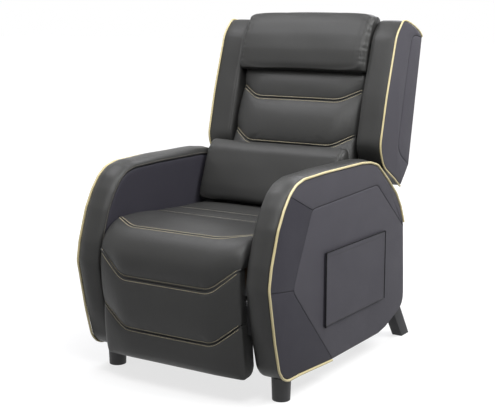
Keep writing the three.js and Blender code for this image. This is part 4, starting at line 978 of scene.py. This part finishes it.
quilted("quilted_footrest",
        rows=[side_view((-402, 76), (-400, 77)), side_view((-427, 170), (-416, 237)),
              side_view((-440, 323.5), (-425, 394.5))],
        half=247, swells=[13, 12], humps=[(0.5, 0.7), (0.7, 0.7)], strips=[(0, 0), (8, 8), (8, 0)],
        seams=["open", "double", "edge"],
        backs=[side_view(on_board(79), on_board(80)), side_view(on_board(170), on_board(237)),
               side_view(on_board(322), on_board(393))],
        body="footrest", node="footrest_pad", cap=4, seed=8,
        wrap=((78, 83, 90, 104, 196, 203), (8, 22, 31, 38, 38, 15)))

# ----------------------------
# Back pad: foam under black leather on the leaning back's frame and webbing, quilted
# by two double-stitched chevrons.
LEAN = math.radians(20.7)
BACK_HEIGHT = 678


def on_back(y, z):
    """Millimetres behind and up the leaning back, as row metres."""
    return drawn(232 + y * math.cos(LEAN) + z * math.sin(LEAN),
                 402 - y * math.sin(LEAN) + z * math.cos(LEAN))


# each row: its heights at the middle and the sides, its fronts there, and the height behind it
BACK_ROWS = [((0.045, 0.045), (-89, -70), 0.045), ((0.348, 0.42), (-87, -63), 0.36),
             ((0.575, 0.64), (-86, -64), 0.58), ((0.735, 0.75), (-80, -70), 0.74),
             ((0.98, 0.98), (-52, -50), 0.98)]
quilted("quilted_back",
        rows=[[on_back(fronts[k], shares[k] * BACK_HEIGHT) for k in (0, 1)]
              for shares, fronts, _ in BACK_ROWS],
        half=232, swells=[14, 14, 9, 2], humps=[(0.7, 0.7)] * 4,
        strips=[(0, 0), (8, 8), (8, 8), (0, 0), (0, 0)],
        seams=["open", "double", "double", "open", "open"],
        backs=[[on_back(-15.1, share * BACK_HEIGHT)] * 2 for _, _, share in BACK_ROWS],
        body="back", node="back_pad", cap=4, seed=12)

# ----------------------------
# Wings: a stiff padded bolster on each side of the back, with a ridge seam down its
# front, facets of panel leather outside, and gold piping between the two.
WING_SHARES = [
    (-0.1111, 0.365), (-0.0413, 0.2965), (0.0118, 0.285), (0.0959, 0.2714), (0.1755, 0.2507),
    (0.2242, 0.3658), (0.1696, 0.6814), (0.1195, 0.9853), (0.0796, 0.9971), (0.0251, 1),
    (-0.0369, 0.9971), (-0.0841, 0.9912), (-0.1106, 0.9808), (-0.1504, 0.8953), (-0.1372, 0.6062)]
WING_ROUNDS = np.array([80, 80, 70, 40, 6, 14, 50, 8, 50, 50, 50, 45, 45, 90, 90]) * MM
# x, offset and crown of the bolster from the pad's side, over the front, to the piping
WING_PROFILE = [
    (236, -17, 0), (236.2, -13, 0), (237, -9, 0), (238.5, -5.6, 0), (240.6, -3, 0.1),
    (242.8, -1.5, 0.3), (244.6, -0.9, 0.4), (245.9, -1.1, 0.4), (247.2, -1.1, 0.4), (248.5, -0.4, 0.8),
    (251, 0.1, 1.3), (256, 0.2, 1.9), (263, 0.1, 2.5), (271, 0, 3.1), (280, 0, 3.6), (289, 0, 3.8),
    (298, 0, 3.7), (306, 0, 3.1), (313, 0, 2.2), (318.5, 0, 1.1), (322, -0.3, 0.4), (324, -1.6, 0),
    (324.2, -5, 0)]
WING_SEAM = [(81, 668), (43, 658.5), (17.5, 648), (6, 632), (9, 587), (14.5, 526), (22, 466),
             (31, 393), (40, 333), (45, 295), (57, 275), (90, 261), (150, 251)]
WING_CLEAR = 0.036
wing_edge = rounded([on_back(y * BACK_HEIGHT, z * BACK_HEIGHT) for y, z in WING_SHARES], WING_ROUNDS)
wing_loop = eased(spaced(wing_edge, 0.005), 2)
# the bolster swells only where it faces the front
back_frontward = np.array([-math.cos(LEAN), math.sin(LEAN)])
front_share = np.clip(outward(wing_loop) @ back_frontward, 0, 1) ** 1.5
for _ in range(12):
    front_share = (front_share + np.roll(front_share, 1) + np.roll(front_share, -1)) / 3
bolster = band("wing_bolster_left", wing_loop, WING_PROFILE, front_share, ripple=0.2, seed=9)
both_sides(bolster, black_leather, "back", "wing")

# Outside, a strip and a panel meet in one seam. Near its two ends neither has a point of
# its own, so that their thin wedges stay flat.
wing_side = wing_loop - outward(wing_loop) * 2.6 * MM
seam_ends = [on_back(*WING_SEAM[0]), on_back(*WING_SEAM[-1])]
wing_side = with_corners(wing_side, seam_ends, WING_CLEAR)
seam_ends = [wing_side[nearest(wing_side, point)] for point in seam_ends]
wing_seam = rounded([seam_ends[0]] + [on_back(y, z) for y, z in WING_SEAM[1:-1]] + [seam_ends[1]],
                    0.05, closed=False, arc=3)
wing_seam = spaced(wing_seam, 0.006, closed=False)
shared = [point for point in wing_seam
          if min(np.linalg.norm(point - end) for end in seam_ends) > WING_CLEAR]
for key, outline in (("strip", walk(wing_side, seam_ends[0], seam_ends[1]) + shared[::-1]),
                     ("panel", walk(wing_side, seam_ends[1], seam_ends[0]) + shared)):
    both_sides(facet(f"wing_{key}_facet_left", outline, 324.3, 0.8), panel_leather, "back",
               "wing")
seam_shade_tape("wing_seam_tape_left", 325.7, wing_seam, "back")

wing_cord = eased(spaced(wing_edge, 0.003), 4)
wing_cord = wing_cord + outward(wing_cord) * 1.2 * MM
piping_from = on_back(0.1195 * BACK_HEIGHT, 0.9853 * BACK_HEIGHT)
piping_to = on_back(0.1745 * BACK_HEIGHT, 0.251 * BACK_HEIGHT)
piping("wing_piping", 326, walk(wing_cord, piping_from, piping_to), 3.0, "back")

# ----------------------------
# Rear cover: three widths of panel leather sewn together and stapled over the back
# frame. Its top edge is turned over the frame's top rail and runs under the headrest.
REAR_SEAM = [(95, 60), (124, 130), (137, 172), (152, 248), (134, 355), (115, 462), (98, 565), (83, 655)]
rear = soft_edges(copy_of("rear_cover", "rear_cover_leather"), 0.012, segments=5)
dress(rear, panel_leather, "back", "rear_cover")

bpy.ops.mesh.primitive_cube_add(size=1)
flap = bpy.context.object
flap.name = "rear_cover_top"
flap.data.transform(Matrix.Translation((0, *on_back(29.5, 666.8))) @ Matrix.Rotation(-LEAN, 4, "X")
                    @ Matrix.Diagonal((0.470, 0.105, 0.0026, 1)))
dress(soft_edges(flap, 0.001), panel_leather, "back", "rear_cover")

seam_down = spaced(np.array([on_back(y, z) for y, z in REAR_SEAM]), 0.006, closed=False)
rear_surface = surface_of(rear)
beside = []
# the rear seams get the same black cord, partly painted shade
for side, x in (("right", -0.128), ("left", 0.128)):
    line = [rear_surface.find_nearest(Vector((x, y, z)))[0] for y, z in seam_down]
    tape = thread(f"rear_seam_tape_{side}", [tuple(p) for p in line], 0.0012, resolution=2)
    dress(tape, seam_shade_cord, "back")
    beside += [np.array([(x + gap, y, z) for y, z in seam_down]) for gap in (-0.005, 0.005)]
stitching("rear_seam_stitches", beside, rear, "back", finish=grey_thread, thickness=1.2)

# ----------------------------
# Pillows: a headrest pillow that lies over the top of the back, and a lumbar pillow on
# the seat, both of soft black leather gathered into a seam at each end.


def pillow(name, section, half, ends, gathers, node, seed=5, arch=0.0):
    """A stuffed pillow across the chair. The section is its outline in the back's own
    millimetres, and the ends give x share, thickness share and height share."""
    random = np.random.default_rng(seed)
    loop = eased(spaced(rounded(section, 20), 4.0), 9)
    centre = (loop.max(axis=0) + loop.min(axis=0)) / 2
    count = len(loop)
    outs, thins, lows = (np.array([e[k] for e in ends]) for k in range(3))
    stations = np.r_[np.linspace(0, outs[1], 42), np.linspace(outs[1], 1, 34)[1:]]
    stations = np.r_[-stations[:0:-1], stations]
    rings = []
    for share in np.abs(stations):
        ring = centre + (loop - centre) * [np.interp(share, outs, thins), np.interp(share, outs, lows)]
        height = np.clip((ring[:, 1] - loop[:, 1].min()) / np.ptp(loop[:, 1]), 0, 1)
        ring[:, 1] -= arch * share ** 2.4 * height ** 2
        rings.append(ring)
    rings = np.array(rings)
    for _ in range(3):
        rings[1:-1] = (rings[:-2] + 2 * rings[1:-1] + rings[2:]) / 4
    points = np.array([[(share * half * MM, *on_back(y, z)) for y, z in ring]
                       for share, ring in zip(stations, rings)])
    sewn = [i * count + k for i in (0, len(points) - 1) for k in range(count)]
    settled = settle(points.reshape(-1, 3), tube_faces(len(points), count), sewn, 3, 4 * MM)
    points = settled.reshape(points.shape)

    # gathers run in from the sewn ends, and the rest is broadly uneven
    normals = grid_normals(points, closed=True)
    if np.sum(normals * (points - points.reshape(-1, 3).mean(axis=0))) < 0:
        normals = -normals
    around = np.linspace(0, 2 * math.pi, count, endpoint=False)
    folds = sum(random.uniform(0.2, 1) * np.sin(k * around + random.uniform(0, FULL_TURN))
                for k in range(14, 40))
    folds = np.sign(folds) * np.abs(folds / np.abs(folds).max()) ** 0.8
    from_end = (1 - np.abs(stations)) * half
    reach = random.uniform(0.5, 1.4, count)
    reach = (reach + np.roll(reach, 1) + np.roll(reach, 2) + np.roll(reach, -1)) / 4
    deep = np.exp(-((from_end[:, None] - 9) / (12 * reach[None, :])) ** 2)
    points += normals * (gathers * MM * folds[None, :] * deep)[:, :, None]
    broad = sum(random.uniform(-1, 1) * np.sin(
        stations[:, None] * random.uniform(2, 9) + around[None, :] * random.integers(1, 5)
        + random.uniform(0, FULL_TURN)) for _ in range(8))
    points += normals * (0.35 * MM * broad * np.clip(from_end / 60, 0, 1)[:, None])[:, :, None]

    # the leather turns in at each end
    turned_in = [ring + (ring.mean(axis=0) - ring) * 0.35 + [x, 0, 0]
                 for ring, x in ((points[0], 0.002), (points[-1], -0.002))]
    points = np.concatenate([turned_in[:1], points, turned_in[1:]])
    made = mesh_piece(name, points.reshape(-1, 3), tube_faces(len(points), count), 75)
    dress(made, black_leather, "back", node)


HEAD_SECTION = [
    (-70, 484), (-92, 480), (-112, 483), (-124, 499), (-132, 545), (-131, 600), (-124, 648),
    (-110, 684), (-86, 694), (-56, 695), (-34, 689), (-26, 677), (-38, 670), (-58, 668), (-66, 640),
    (-70, 510)]
pillow("headrest_cushion", HEAD_SECTION, 236.5,
       [(0, 1, 1), (0.85, 0.985, 0.995), (0.93, 0.94, 0.985), (0.97, 0.85, 0.97), (0.99, 0.7, 0.95),
        (1, 0.5, 0.93)], gathers=0.8, node="headrest_pillow", arch=12.5)
LUMBAR_SECTION = [
    (-106, 16), (-140, 10), (-180, 12), (-186, 60), (-186, 140), (-183, 188), (-163, 222),
    (-125, 226), (-105, 199), (-103, 60)]
pillow("lumbar_cushion", LUMBAR_SECTION, 251.4,
       [(0, 1, 1), (0.88, 0.99, 1), (0.95, 0.965, 0.99), (0.98, 0.9, 0.965), (0.993, 0.76, 0.93),
        (1, 0.55, 0.88)], gathers=0.6, node="lumbar_pillow", seed=7)
